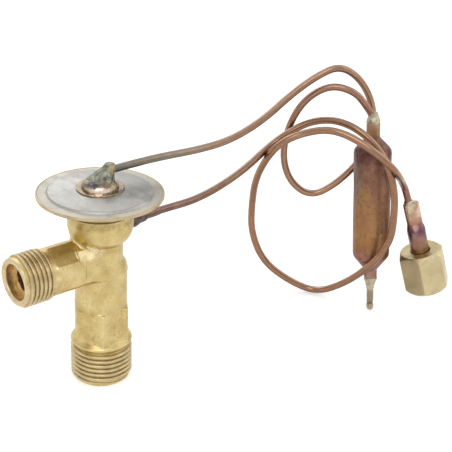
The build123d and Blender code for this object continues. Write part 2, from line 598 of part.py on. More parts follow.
with BuildPart() as bulb_top_solder:
    with BuildSketch(bulb_section):
        with BuildLine():
            Polyline((0, BULB_NECK_TOP), (BULB_NECK_R, BULB_NECK_TOP),
                     (TOP_SOLDER_R, BULB_NECK_TOP + TOP_SOLDER_RISE),
                     (TOP_SOLDER_TIP_R, BULB_NECK_TOP + TOP_SOLDER_LENGTH),
                     (0, BULB_NECK_TOP + TOP_SOLDER_LENGTH), close=True)
        make_face()
    revolve(axis=bulb_axis)
    add(capillary_tube.part, mode=Mode.SUBTRACT)
bulb_top_solder.part.label = "bulb_top_solder"
export_step(bulb_top_solder.part, "parts/bulb_top_solder.step")

# ---- flare stub and nut ----------------------------------------------------------------------


def stub_plane(distance):
    """Plane across the stub at a distance down from its crimped end; local X runs across the crimp."""
    return Plane(origin=along(STUB_TOP, STUB_AXIS, -distance), x_dir=stub_section.z_dir, z_dir=STUB_AXIS)


def stub_profile_point(radius, distance):
    """Point of the stub's section, by radius and distance down from the crimped end."""
    return (radius, -distance)


TAPER_END = STUB_CRIMP_LENGTH + STUB_CRIMP_TAPER
NUT_CONE = STUB_TO_NUT + NUT_HOLE_DEPTH
NUT_CONE_END = NUT_CONE + NUT_RELIEF_R - NUT_HOLE_R
NUT_THREAD_START = NUT_CONE_END + NUT_RELIEF_LENGTH
FLARE_START = NUT_CONE - (NUT_HOLE_R - STUB_R) + FLARE_GAP * math.sqrt(2)
FLARE_R = NUT_THREAD_R - FLARE_LIP_GAP
FLARE_END = FLARE_START + FLARE_R - STUB_R
FLARE_LIP = STUB_WALL / math.sqrt(2)
STUB_BORE_R = STUB_R - STUB_WALL
FLARE_BORE_START = FLARE_START + STUB_WALL * (math.sqrt(2) - 1)
stub_axis = Axis(Vector(*STUB_TOP), Vector(*STUB_AXIS))

with BuildPart() as flare_stub:
    with BuildSketch(stub_section):
        with BuildLine():
            Polyline(stub_profile_point(STUB_BORE_R, TAPER_END), stub_profile_point(STUB_R, TAPER_END),
                     stub_profile_point(STUB_R, FLARE_START), stub_profile_point(FLARE_R, FLARE_END),
                     stub_profile_point(FLARE_R - FLARE_LIP, FLARE_END + FLARE_LIP),
                     stub_profile_point(STUB_BORE_R, FLARE_BORE_START), close=True)
        make_face()
    revolve(axis=stub_axis)
    with BuildSketch(stub_plane(TAPER_END)):
        Circle(STUB_R)
    with BuildSketch(stub_plane(STUB_CRIMP_LENGTH)):
        Ellipse(STUB_CRIMP_WIDTH / 2, STUB_CRIMP_THICKNESS / 2)
    loft()
    with BuildSketch(stub_plane(STUB_CRIMP_LENGTH)):
        Ellipse(STUB_CRIMP_WIDTH / 2, STUB_CRIMP_THICKNESS / 2)
    extrude(amount=STUB_CRIMP_LENGTH)
    with BuildSketch(stub_plane(TAPER_END)):
        with Locations((-STUB_ENTRY_OFFSET, 0)):
            Circle(EQUALISER_R)
    extrude(amount=TAPER_END, mode=Mode.SUBTRACT)
flare_stub.part.label = "flare_stub"
export_step(flare_stub.part, "parts/flare_stub.step")

with BuildPart() as stub_solder:
    with BuildSketch(stub_plane(0)):
        with Locations((-STUB_ENTRY_OFFSET, 0)):
            Circle(STUB_SOLDER_R)
    extrude(amount=STUB_SOLDER_HEIGHT)
    fillet(stub_solder.edges().group_by(stub_axis)[-1], STUB_SOLDER_ROUNDING)
    add(equaliser_tube.part, mode=Mode.SUBTRACT)
stub_solder.part.label = "stub_solder"
export_step(stub_solder.part, "parts/stub_solder.step")

NUT_BOTTOM = STUB_TO_NUT + NUT_LENGTH
NUT_CORNER_R = NUT_AF / math.sqrt(3)
NUT_FACE_R = NUT_AF / 2 - NUT_FACE_INSET
with BuildPart() as flare_nut:
    with BuildSketch(stub_plane(NUT_BOTTOM)):
        RegularPolygon(NUT_AF / 2, 6, major_radius=False, rotation=NUT_TURN)
    extrude(amount=NUT_LENGTH)
    with BuildSketch(stub_section):
        with BuildLine():
            Polyline(stub_profile_point(NUT_HOLE_R, STUB_TO_NUT), stub_profile_point(NUT_FACE_R, STUB_TO_NUT),
                     stub_profile_point(NUT_CORNER_R, STUB_TO_NUT + NUT_CROWN),
                     stub_profile_point(NUT_CORNER_R, NUT_BOTTOM - NUT_CROWN),
                     stub_profile_point(NUT_FACE_R, NUT_BOTTOM),
                     stub_profile_point(NUT_THREAD_R + NUT_MOUTH_BEVEL, NUT_BOTTOM),
                     stub_profile_point(NUT_THREAD_R, NUT_BOTTOM - NUT_MOUTH_BEVEL),
                     stub_profile_point(NUT_THREAD_R, NUT_THREAD_START),
                     stub_profile_point(NUT_RELIEF_R, NUT_THREAD_START),
                     stub_profile_point(NUT_RELIEF_R, NUT_CONE_END),
                     stub_profile_point(NUT_HOLE_R, NUT_CONE), close=True)
        make_face()
    revolve(axis=stub_axis, mode=Mode.INTERSECT)
flare_nut.part.label = "flare_nut"
export_step(flare_nut.part, "parts/flare_nut.step")
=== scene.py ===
"""Looks of a thermostatic expansion valve: forged body, diaphragm head, copper tubes, bulb and nut.

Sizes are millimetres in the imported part's own frame, and meshes are written in metres. The forging and
the nut are sampled distance fields, what is turned or drawn follows outlines and routes, and Geometry
Nodes sweep the tubes, the threads and the spring.
"""
from __future__ import annotations

import logging
import math
from dataclasses import dataclass, field
from enum import Enum
from itertools import product
from typing import Callable, Sequence

import bpy
import numpy as np
from mathutils import Matrix, Vector, noise

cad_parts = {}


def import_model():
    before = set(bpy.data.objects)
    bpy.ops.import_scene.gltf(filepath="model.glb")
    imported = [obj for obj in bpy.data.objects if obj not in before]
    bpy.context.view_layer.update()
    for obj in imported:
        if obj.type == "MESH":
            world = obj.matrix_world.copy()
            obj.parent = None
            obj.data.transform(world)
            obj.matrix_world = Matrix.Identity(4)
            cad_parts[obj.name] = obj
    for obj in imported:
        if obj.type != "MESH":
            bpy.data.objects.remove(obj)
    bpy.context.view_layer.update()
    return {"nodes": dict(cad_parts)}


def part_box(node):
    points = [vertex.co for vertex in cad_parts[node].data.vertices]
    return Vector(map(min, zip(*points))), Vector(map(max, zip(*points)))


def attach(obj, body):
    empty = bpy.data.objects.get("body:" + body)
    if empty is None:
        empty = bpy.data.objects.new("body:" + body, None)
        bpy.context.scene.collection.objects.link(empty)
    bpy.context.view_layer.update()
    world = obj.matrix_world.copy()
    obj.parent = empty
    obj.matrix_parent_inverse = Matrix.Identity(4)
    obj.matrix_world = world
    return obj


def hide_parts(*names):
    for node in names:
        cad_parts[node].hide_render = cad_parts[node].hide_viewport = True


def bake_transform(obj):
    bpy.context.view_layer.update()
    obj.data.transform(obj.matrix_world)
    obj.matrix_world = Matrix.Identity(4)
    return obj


LOG = logging.getLogger("expansion_valve")
MM = 0.001
RUN = "run"                 # mesh attribute: millimetres along the piece's own axis or route
WHITE = (1, 1, 1, 1)
TINY = 1e-6
ROUNDING_SHARE = 0.48       # most of a side that one rounding takes
FLAT_RUN = 2.6              # a side of more than so many roundings gets a point of its own,
FLAT_POINT = 1.25           # so many roundings from the corner

Colour = tuple[float, float, float]
Point3 = tuple[float, float, float]
Outline = list[tuple[float, float]]
Piece = bpy.types.Object
Socket = bpy.types.NodeSocket
Array = np.ndarray
Form = Callable[[Array], Array]
Distance = Callable[[Array, Array, Array], Array]


class Body(str, Enum):
    """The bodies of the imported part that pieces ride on."""

    VALVE = "valve"
    LIFTER = "lifter"
    SEAT_SLIDE = "seat_slide"
    ADJUSTER = "adjuster"
    NUT = "nut"


# ---- outlines, frames and meshes


@dataclass(frozen=True)
class AxisFrame:
    """A place and a direction: local Z runs along the axis, local Y lies level."""

    origin: Point3 = (0.0, 0.0, 0.0)
    axis: Point3 = (0.0, 0.0, 1.0)

    def matrix(self) -> Matrix:
        """Matrix from local millimetres to the part's millimetres.

        Returns:
            The frame's matrix.
        """
        up = Vector(self.axis).normalized()
        side = up.cross(Vector((0, 0, 1)))
        side = Vector((0, 1, 0)) if side.length < TINY else side.normalized()
        turn = Matrix((side.cross(up), side, up)).transposed().to_4x4()
        return Matrix.Translation(Vector(self.origin)) @ turn

    def moved(self, distance: float) -> AxisFrame:
        """The frame moved along its axis."""
        return AxisFrame(tuple(Vector(self.origin) + Vector(self.axis).normalized() * distance), self.axis)


def arc(middle: tuple[float, float], reach: tuple[float, float], count: int) -> Outline:
    """Quarter of an oval round a middle, from its side to its end.

    Args:
        middle: its middle.
        reach: its half widths, towards its side and its end.
        count: number of points.

    Returns:
        The points.
    """
    return [(middle[0] + reach[0] * math.cos(angle), middle[1] + reach[1] * math.sin(angle))
            for angle in np.linspace(0, math.pi / 2, count)]


def rounded(corners: Sequence[Point3], steps: int = 5) -> Outline:
    """Rounds the corners of an outline.

    Args:
        corners: radius, height and rounding of each corner, in order.
        steps: parts of each rounding.

    Returns:
        The outline's points, with one more on each run beside a rounding, so that flats shade flat.
    """
    points: Outline = []
    for index, (radius, height, rounding) in enumerate(corners):
        if rounding <= 0 or index in (0, len(corners) - 1):
            points.append((radius, height))
            continue
        here = Vector((radius, height))
        sides = [Vector(corners[index + way][:2]) - here for way in (-1, 1)]
        reach = min(rounding / math.tan(sides[0].angle(sides[1]) / 2),
                    *(ROUNDING_SHARE * side.length for side in sides))
        start, end = (here + side.normalized() * reach for side in sides)
        before, after = ([tuple(here + side.normalized() * reach * FLAT_POINT)]
                         if side.length > FLAT_RUN * reach else [] for side in sides)
        shares = [step / steps for step in range(steps + 1)]
        curve = [tuple(start.lerp(end, share).lerp(here, 2 * share * (1 - share))) for share in shares]
        points += [*before, *curve, *after]
    return points


def subdivided(outline: Outline, step: float) -> Outline:
    """Outline with further points, so that no side is much longer than the step.

    Args:
        outline: the coarse outline.
        step: about the longest side to leave.

    Returns:
        The denser outline.
    """
    dense: Outline = []
    for (r0, z0), (r1, z1) in zip(outline, outline[1:]):
        pieces = max(1, round(math.hypot(r1 - r0, z1 - z0) / step))
        dense += [(r0 + (r1 - r0) * i / pieces, z0 + (z1 - z0) * i / pieces) for i in range(pieces)]
    return [*dense, outline[-1]]


def linked(name: str, data: bpy.types.ID) -> Piece:
    """Links a new object that holds the data.

    Args:
        name: the object's name.
        data: its mesh, camera or lamp.

    Returns:
        The object.
    """
    piece = bpy.data.objects.new(name, data)
    bpy.context.scene.collection.objects.link(piece)
    return piece


def mesh_piece(name: str, points: Array, faces: Sequence[Sequence[int]], sharp: float = 40.0,
               run: Array | None = None) -> Piece:
    """Makes a mesh object whose place is in its mesh.

    Args:
        name: the piece's name.
        points: one row for each vertex, in millimetres.
        faces: vertex numbers of each face.
        sharp: degrees past which an edge shades sharp.
        run: millimetres along the piece for each vertex, kept as an attribute.

    Returns:
        The linked object.
    """
    mesh = bpy.data.meshes.new(name)
    mesh.from_pydata((np.asarray(points, float) * MM).tolist(), [], [list(face) for face in faces])
    mesh.shade_smooth()
    mesh.set_sharp_from_angle(angle=math.radians(sharp))
    if run is not None:
        layer = mesh.attributes.new(RUN, "FLOAT", "POINT")
        layer.data.foreach_set("value", np.asarray(run, np.float32))
    mesh.validate()
    return linked(name, mesh)


def carried(points: Array, place: Matrix) -> Array:
    """Points turned and moved by a matrix in millimetres."""
    turn = np.array(place)
    return points @ turn[:3, :3].T + turn[:3, 3]


def roughened(points: Array, depth: float, size: float, seed: float) -> Array:
    """Pushes points in and out from the local Z axis by a smooth noise.

    Args:
        points: rows of millimetres.
        depth: largest push in millimetres.
        size: width of a lump in millimetres.
        seed: moves the noise, so that pieces differ.

    Returns:
        The moved points.
    """
    away = points * (1, 1, 0)
    length = np.linalg.norm(away, axis=1, keepdims=True)
    push = np.array([noise.noise(Vector(p) / size + Vector((seed, 1.7 * seed, 0))) for p in points])
    return points + away / np.maximum(length, TINY) * (push * depth)[:, None] * (length > 1e-3)


def rough(depth: float, size: float, seed: float) -> Form:
    """A form that only roughens."""
    return lambda points: roughened(points, depth, size, seed)


def eased(share: Array) -> Array:
    """Share from 0 to 1 that starts and ends gently."""
    return share * share * (3 - 2 * share)


def turned(name: str, outline: Outline, place: AxisFrame = AxisFrame(), segments: int = 96,
           form: Form | None = None, ring: bool = False) -> Piece:
    """Turns an outline round the local Z axis.

    Args:
        name: the piece's name.
        outline: radius and height of each point; a solid starts and ends on the axis.
        place: where the local axis is.
        segments: faces round the axis.
        form: reshapes the local points before they are placed.
        ring: the outline is a closed loop round a hole.

    Returns:
        The closed piece, with its faces outwards.
    """
    angles = np.linspace(0, 2 * math.pi, segments, endpoint=False)
    points: list[Point3] = []
    rows: list[list[int]] = []
    for radius, height in outline:
        if radius < TINY:
            rows.append([len(points)] * segments)
            points.append((0.0, 0.0, height))
            continue
        rows.append(list(range(len(points), len(points) + segments)))
        points += [(radius * math.cos(a), radius * math.sin(a), height) for a in angles]
    faces = []
    for low, high in zip(rows, rows[1:] + rows[:1] if ring else rows[1:]):
        for index in range(segments):
            after = (index + 1) % segments
            face = list(dict.fromkeys([low[index], low[after], high[after], high[index]]))
            if len(face) > 2:
                faces.append(face)
    area = sum((b[0] - a[0]) * (a[1] + b[1]) for a, b in zip(outline, outline[1:] + outline[:1]))
    if area > 0:
        faces = [face[::-1] for face in faces]
    local = np.array(points)
    return mesh_piece(name, carried(form(local) if form else local, place.matrix()), faces, run=local[:, 2])


# ---- distance fields, for what is forged and machined from one block


def smooth_min(a: Array, b: Array, blend: float) -> Array:
    """Joins two fields with a fillet of about the blend's size."""
    share = np.maximum(blend - np.abs(a - b), 0) / blend
    return np.minimum(a, b) - share * share * blend / 4


def smooth_max(a: Array, b: Array, blend: float) -> Array:
    """Keeps what is inside both fields, with the new edge rounded by about the blend's size."""
    return -smooth_min(-a, -b, blend)


def hexagon(u: Array, v: Array, flat: float, turn: float, edge: float) -> Array:
    """Distance to a hexagonal bar.

    Args:
        u: first coordinate across the bar.
        v: second coordinate across the bar.
        flat: distance from the axis to a flat.
        turn: degrees from u to the first flat.
        edge: rounding between flats.

    Returns:
        The signed distance, negative inside.
    """
    result = np.full_like(u, -1e9)
    for angle in np.radians(turn + 60.0 * np.arange(6)):
        result = smooth_max(result, u * math.cos(angle) + v * math.sin(angle) - flat, edge)
    return result


@dataclass
class TurnedField:
    """Signed distance to a turned shape, read from a table over radius and height."""

    outline: Outline
    reach: float = 13.0
    step: float = 0.1
    margin: float = 3.0

    def __post_init__(self) -> None:
        """Fills the table."""
        heights = [height for _, height in self.outline]
        self.low = min(heights) - self.margin
        radius = np.arange(0, self.reach + self.step, self.step)
        height = np.arange(self.low, max(heights) + self.margin, self.step)
        r, z = np.meshgrid(radius, height, indexing="ij")
        nearest = np.full(r.shape, 1e9)
        inside = np.zeros(r.shape, bool)
        for (r0, z0), (r1, z1) in zip(self.outline, self.outline[1:] + self.outline[:1]):
            dr, dz = r1 - r0, z1 - z0
            if abs(dz) > 1e-9:
                inside ^= ((z0 > z) != (z1 > z)) & (r < (z - z0) / dz * dr + r0)
            if max(r0, r1) < TINY:
                continue
            share = np.clip(((r - r0) * dr + (z - z0) * dz) / max(dr * dr + dz * dz, 1e-12), 0, 1)
            nearest = np.minimum(nearest, np.hypot(r - r0 - share * dr, z - z0 - share * dz))
        self.table = np.where(inside, -nearest, nearest)

    def __call__(self, radius: Array, height: Array) -> Array:
        """Distance at each radius and height.

        Args:
            radius: distances from the axis.
            height: heights along it.

        Returns:
            Signed distances, negative inside.
        """
        i = np.clip(radius / self.step, 0, self.table.shape[0] - 1.001)
        j = np.clip((height - self.low) / self.step, 0, self.table.shape[1] - 1.001)
        i0, j0 = i.astype(int), j.astype(int)
        fi, fj = i - i0, j - j0
        low, high = (self.table[i0, row] * (1 - fi) + self.table[i0 + 1, row] * fi for row in (j0, j0 + 1))
        return low * (1 - fj) + high * fj


def settled(distance: Distance, points: Array, cell: float) -> Array:
    """Slides points down the field's slope onto its surface, by at most half a cell.

    Args:
        distance: the field, negative inside.
        points: rows near its surface.
        cell: edge of a sampled cell.

    Returns:
        The settled points.
    """
    start = points.copy()
    probe = cell * 0.2
    for _ in range(3):
        value = distance(*points.T)
        slope = np.stack([distance(*(points + offset).T) - value for offset in np.eye(3) * probe], axis=1)
        slope /= probe
        size = np.maximum((slope * slope).sum(1), 0.25)
        points = points - slope * (value / size)[:, None]
        points = start + np.clip(points - start, -cell / 2, cell / 2)
    return points


def skinned(distance: Distance, low: Point3, high: Point3, cell: float) -> tuple[Array, Array]:
    """Skins the zero level of a distance field with one vertex in each cell that it crosses.

    Args:
        distance: the field, negative inside.
        low: lowest corner of the sampled box.
        high: highest corner of the sampled box.
        cell: edge of a cell.

    Returns:
        Points and four-sided faces, closed and facing outwards.
    """
    axes = [np.arange(a, b + cell, cell) for a, b in zip(low, high)]
    value = distance(*np.meshgrid(*axes, indexing="ij"))

    def corner(offset: Sequence[int]) -> Array:
        """Values at one corner of every cell."""
        return value[tuple(slice(o, n - 1 + o) for o, n in zip(offset, value.shape))]

    count = sum((corner(offset) < 0).astype(np.int8) for offset in product((0, 1), repeat=3))
    crossed = (count > 0) & (count < 8)
    number = np.full(crossed.shape, -1)
    number[crossed] = np.arange(crossed.sum())
    total, hits = np.zeros((int(crossed.sum()), 3)), np.zeros(int(crossed.sum()))
    unit = np.eye(3, dtype=int)
    for axis in range(3):
        for sides in product((0, 1), repeat=2):
            start = np.insert(sides, axis, 0)
            a, b = corner(start)[crossed], corner(start + unit[axis])[crossed]
            cut = (a < 0) != (b < 0)
            spot = np.tile(start.astype(float), (len(a), 1))
            spot[:, axis] = np.where(cut, a / np.where(cut, a - b, 1), 0)
            total += spot * cut[:, None]
            hits += cut
    points = (np.argwhere(crossed) + total / hits[:, None]) * cell + np.array([axis[0] for axis in axes])
    faces = []
    for axis in range(3):
        one, two = (axis + 1) % 3, (axis + 2) % 3
        here = np.argwhere((np.take(value, range(value.shape[axis] - 1), axis) < 0)
                           != (np.take(value, range(1, value.shape[axis]), axis) < 0))
        for side in (one, two):
            here = here[(here[:, side] > 0) & (here[:, side] < number.shape[side])]
        filled = value[tuple(here.T)] < 0
        loop = [here, here - unit[one], here - unit[one] - unit[two], here - unit[two]]
        quads = np.stack([number[tuple(place.T)] for place in loop], axis=1)
        faces.append(np.where(filled[:, None], quads, quads[:, ::-1]))
    return settled(distance, points, cell), np.concatenate(faces)


# ---- node trees: Geometry Nodes for what is swept, and materials


class NodeWriter:
    """Adds nodes to a tree and links them."""

    def __init__(self, tree: bpy.types.NodeTree) -> None:
        """Starts on a tree."""
        self.tree = tree

    def add(self, kind: str, links: dict[str | int, object] | None = None, output: str | int = 0,
            **settings: object) -> Socket:
        """Adds a node.

        Args:
            kind: the node's type.
            links: for each input, the socket that feeds it or its value.
            output: which output to return.
            settings: the node's own properties.

        Returns:
            The chosen output.
        """
        node = self.tree.nodes.new(kind)
        for label, value in settings.items():
            setattr(node, label, value)
        for label, value in (links or {}).items():
            if isinstance(value, Socket):
                self.tree.links.new(value, node.inputs[label])
            else:
                node.inputs[label].default_value = value
        return node.outputs[output]

    def math(self, operation: str, a: object, b: object = 0.0) -> Socket:
        """Adds a Math node."""
        return self.add("ShaderNodeMath", {0: a, 1: b}, operation=operation)


class Sweep(NodeWriter):
    """A Geometry Nodes tree with named inputs, whose result ends as a plain mesh."""

    def __init__(self, name: str, inputs: dict[str, float | int], takes_geometry: bool = False) -> None:
        """Makes the tree.

        Args:
            name: the tree's name.
            inputs: names and defaults of its sizes; whole numbers make integer inputs.
            takes_geometry: the tree works on the object's own curve.
        """
        super().__init__(bpy.data.node_groups.new(name, "GeometryNodeTree"))
        face = self.tree.interface
        face.new_socket("Geometry", in_out="OUTPUT", socket_type="NodeSocketGeometry")
        if takes_geometry:
            face.new_socket("Geometry", in_out="INPUT", socket_type="NodeSocketGeometry")
        for label, value in inputs.items():
            kind = "NodeSocketInt" if isinstance(value, int) else "NodeSocketFloat"
            face.new_socket(label, in_out="INPUT", socket_type=kind).default_value = value
        face.new_socket("Material", in_out="INPUT", socket_type="NodeSocketMaterial")
        self.inputs = self.tree.nodes.new("NodeGroupInput").outputs
        self.result = self.tree.nodes.new("NodeGroupOutput").inputs["Geometry"]

    def sweep(self, path: Socket, section: Socket, scale: object = 1.0) -> Sweep:
        """Sweeps a section along a path and ends the tree with Realize Instances and Set Material.

        Args:
            path: the curve to follow.
            section: the curve that is swept.
            scale: size of the section along the path.

        Returns:
            The finished tree.
        """
        swept = self.add("GeometryNodeCurveToMesh", {"Curve": path, "Profile Curve": section, "Scale": scale,
                                                     "Fill Caps": True})
        smooth = self.add("GeometryNodeSetShadeSmooth", {"Geometry": swept})
        plain = self.add("GeometryNodeRealizeInstances", {"Geometry": smooth})
        dressed = self.add("GeometryNodeSetMaterial", {"Geometry": plain,
                                                       "Material": self.inputs["Material"]})
        self.tree.links.new(dressed, self.result)
        return self

    def made(self, name: str, values: dict[str, object], source: bpy.types.ID | None = None,
             place: Matrix = Matrix.Identity(4)) -> Piece:
        """Runs the tree and keeps its result as a plain mesh.

        Args:
            name: the piece's name.
            values: the inputs' values, in metres.
            source: the curve that the tree works on.
            place: matrix in millimetres that puts the result in its place.

        Returns:
            The piece.
        """
        seed = linked(name + "_seed", source or bpy.data.meshes.new(name + "_seed"))
        modifier = seed.modifiers.new("make", "NODES")
        modifier.node_group = self.tree
        for item in self.tree.interface.items_tree:
            if item.in_out == "INPUT" and item.name in values:
                modifier[item.identifier] = values[item.name]
        mesh = bpy.data.meshes.new_from_object(seed.evaluated_get(bpy.context.evaluated_depsgraph_get()))
        bpy.data.objects.remove(seed)
        metres = place.copy()
        metres.translation = metres.translation * MM
        mesh.transform(metres)
        mesh.name = name
        return linked(name, mesh)


def tube_tree() -> Sweep:
    """Tree that sweeps a round tube along a route and notes how far along each point is.

    Returns:
        The finished tree.
    """
    tree = Sweep("Drawn tube", {"Radius": 0.001, "Sides": 24, "Spacing": 0.0005}, takes_geometry=True)
    given = tree.inputs
    route = tree.add("GeometryNodeResampleCurve", {"Curve": given["Geometry"], "Length": given["Spacing"]},
                     mode="LENGTH")
    along = tree.math("MULTIPLY", tree.add("GeometryNodeSplineParameter", output="Length"), 1 / MM)
    route = tree.add("GeometryNodeStoreNamedAttribute", {"Geometry": route, "Name": RUN, "Value": along},
                     data_type="FLOAT", domain="POINT")
    return tree.sweep(route, tree.add("GeometryNodeCurvePrimitiveCircle", {"Resolution": given["Sides"],
                                                                           "Radius": given["Radius"]}))


def helix_tree(name: str, round_wire: bool) -> Sweep:
    """Tree that sweeps a section along a helix: a round wire, or the ridge of a screw thread.

    Args:
        name: the tree's name.
        round_wire: a wire of the given height as its radius, in place of a ridge.

    Returns:
        The closed tree. A ridge stands out from its radius, or in where its height is negative, and
        runs out over the given share of its length at each end.
    """
    tree = Sweep(name, {"Radius": 0.01, "Pitch": 0.0015, "Turns": 7.0, "Height": 0.001, "Root": 0.0014,
                        "Crest": 0.0003, "Run-out": 0.08, "Steps": 72})
    given = tree.inputs
    helix = tree.add("GeometryNodeCurveSpiral", {
        "Resolution": given["Steps"], "Rotations": given["Turns"], "Start Radius": given["Radius"],
        "End Radius": given["Radius"], "Height": tree.math("MULTIPLY", given["Pitch"], given["Turns"])})
    helix = tree.add("GeometryNodeSetCurveNormal", {"Curve": helix}, mode="Z_UP")
    if round_wire:
        wire = tree.add("GeometryNodeCurvePrimitiveCircle", {"Resolution": 16, "Radius": given["Height"]})
        return tree.sweep(helix, wire)
    corners = {}
    for index, (out, width, sign) in enumerate(((0.0, "Root", -1), (given["Height"], "Crest", -1),
                                                (given["Height"], "Crest", 1), (0.0, "Root", 1)), start=1):
        corners[f"Point {index}"] = tree.add("ShaderNodeCombineXYZ", {
            "X": tree.math("MULTIPLY", out, -1.0), "Y": tree.math("MULTIPLY", given[width], 0.5 * sign)})
    section = tree.add("GeometryNodeCurvePrimitiveQuadrilateral", corners, mode="POINTS")
    section = tree.add("GeometryNodeFilletCurve", {
        "Curve": section, "Count": 2, "Radius": tree.math("MULTIPLY", given["Crest"], 0.4)}, mode="POLY")
    along = tree.add("GeometryNodeSplineParameter", output="Factor")
    nearest = tree.math("MINIMUM", along, tree.math("SUBTRACT", 1.0, along))
    share = tree.math("MINIMUM", tree.math("DIVIDE", nearest, given["Run-out"]), 1.0)
    return tree.sweep(helix, section, tree.math("MAXIMUM", share, 0.02))


def route_curve(name: str, corners: Sequence[Point3]) -> bpy.types.Curve:
    """Smooth route through given control points, in metres.

    Args:
        name: the curve's name.
        corners: the control points, in millimetres.

    Returns:
        The curve, for the tube's tree.
    """
    curve = bpy.data.curves.new(name, "CURVE")
    curve.dimensions = "3D"
    curve.resolution_u = 16
    spline = curve.splines.new("NURBS")
    spline.points.add(len(corners) - 1)
    for point, corner in zip(spline.points, corners):
        point.co = (*(value * MM for value in corner), 1)
    spline.order_u = 3
    spline.use_endpoint_u = True
    return curve


class Recipe(NodeWriter):
    """Writes one procedural metal or packing: each method adds nodes and returns what they give."""

    def __init__(self, name: str) -> None:
        """Starts a material.

        Args:
            name: the material's name.
        """
        self.material = bpy.data.materials.new(name)
        self.material.use_nodes = True
        super().__init__(self.material.node_tree)
        self.shader = self.tree.nodes["Principled BSDF"].inputs
        self.place = self.add("ShaderNodeTexCoord", output="Object")

    def fit(self, value: Socket, low: float, high: float, to_low: float, to_high: float) -> Socket:
        """Maps a range onto another, clamped."""
        return self.add("ShaderNodeMapRange", {"Value": value, "From Min": low, "From Max": high,
                                               "To Min": to_low, "To Max": to_high})

    def grain(self, size: float, detail: float, stretch: Point3 = (1, 1, 1), seed: float = 0.0) -> Socket:
        """Noise from 0 to 1.

        Args:
            size: width of a lump in millimetres.
            detail: how many finer layers it has.
            stretch: lumps are longer along an axis where this is above 1.
            seed: moves the noise.

        Returns:
            The noise.
        """
        mapping = self.add("ShaderNodeMapping", {"Vector": self.place, "Location": (seed, seed, seed),
                                                 "Scale": tuple(1 / s for s in stretch)})
        return self.add("ShaderNodeTexNoise", {"Vector": mapping, "Scale": 1 / (size * MM), "Detail": detail,
                                               "Roughness": 0.55})

    def mix(self, share: object, a: object, b: object, mode: str = "MIX") -> Socket:
        """Mixes two colours.

        Args:
            share: how much of the second colour shows.
            a: the first colour.
            b: the second colour.
            mode: the way of blending.

        Returns:
            The mixed colour.
        """
        whole = {index: (*value, 1) if isinstance(value, tuple) else value
                 for index, value in ((0, share), (6, a), (7, b))}
        return self.add("ShaderNodeMix", whole, output=2, data_type="RGBA", blend_type=mode)

    def ramp(self, share: Socket, stops: Sequence[tuple[float, Colour]]) -> Socket:
        """Colours along a scale from 0 to 1.

        Args:
            share: where on the scale.
            stops: places from 0 to 1 and their colours.

        Returns:
            The colour.
        """
        output = self.add("ShaderNodeValToRGB", {"Fac": share})
        elements = output.node.color_ramp.elements
        while len(elements) < len(stops):
            elements.new(1.0)
        for element, (spot, colour) in zip(elements, stops):
            element.position = spot
            element.color = (*colour, 1)
        return output

    def spot(self, centre: Point3, reach: Point3, fray: Socket) -> Socket:
        """Mask of an oval place in millimetres with a frayed edge, 1 in its middle.

        Args:
            centre: its middle.
            reach: its half widths.
            fray: noise that frays the edge.

        Returns:
            The mask.
        """
        mapping = self.add("ShaderNodeMapping", {
            "Vector": self.place, "Scale": tuple(1 / (r * MM) for r in reach),
            "Location": tuple(-c / r for c, r in zip(centre, reach))})
        far = self.add("ShaderNodeVectorMath", {0: mapping}, output="Value", operation="LENGTH")
        frayed = self.math("ADD", far, self.fit(fray, 0.3, 0.7, -0.45, 0.45))
        return self.fit(frayed, 0.55, 1.15, 1.0, 0.0)


# ---- finishes


@dataclass(frozen=True)
class StainOrPaintedLight:
    """A local patch of colour on a metal: a real discolouring, or a painted highlight, reflection or shadow.
    """

    centre: Point3
    reach: Point3
    colour: Colour
    strength: float


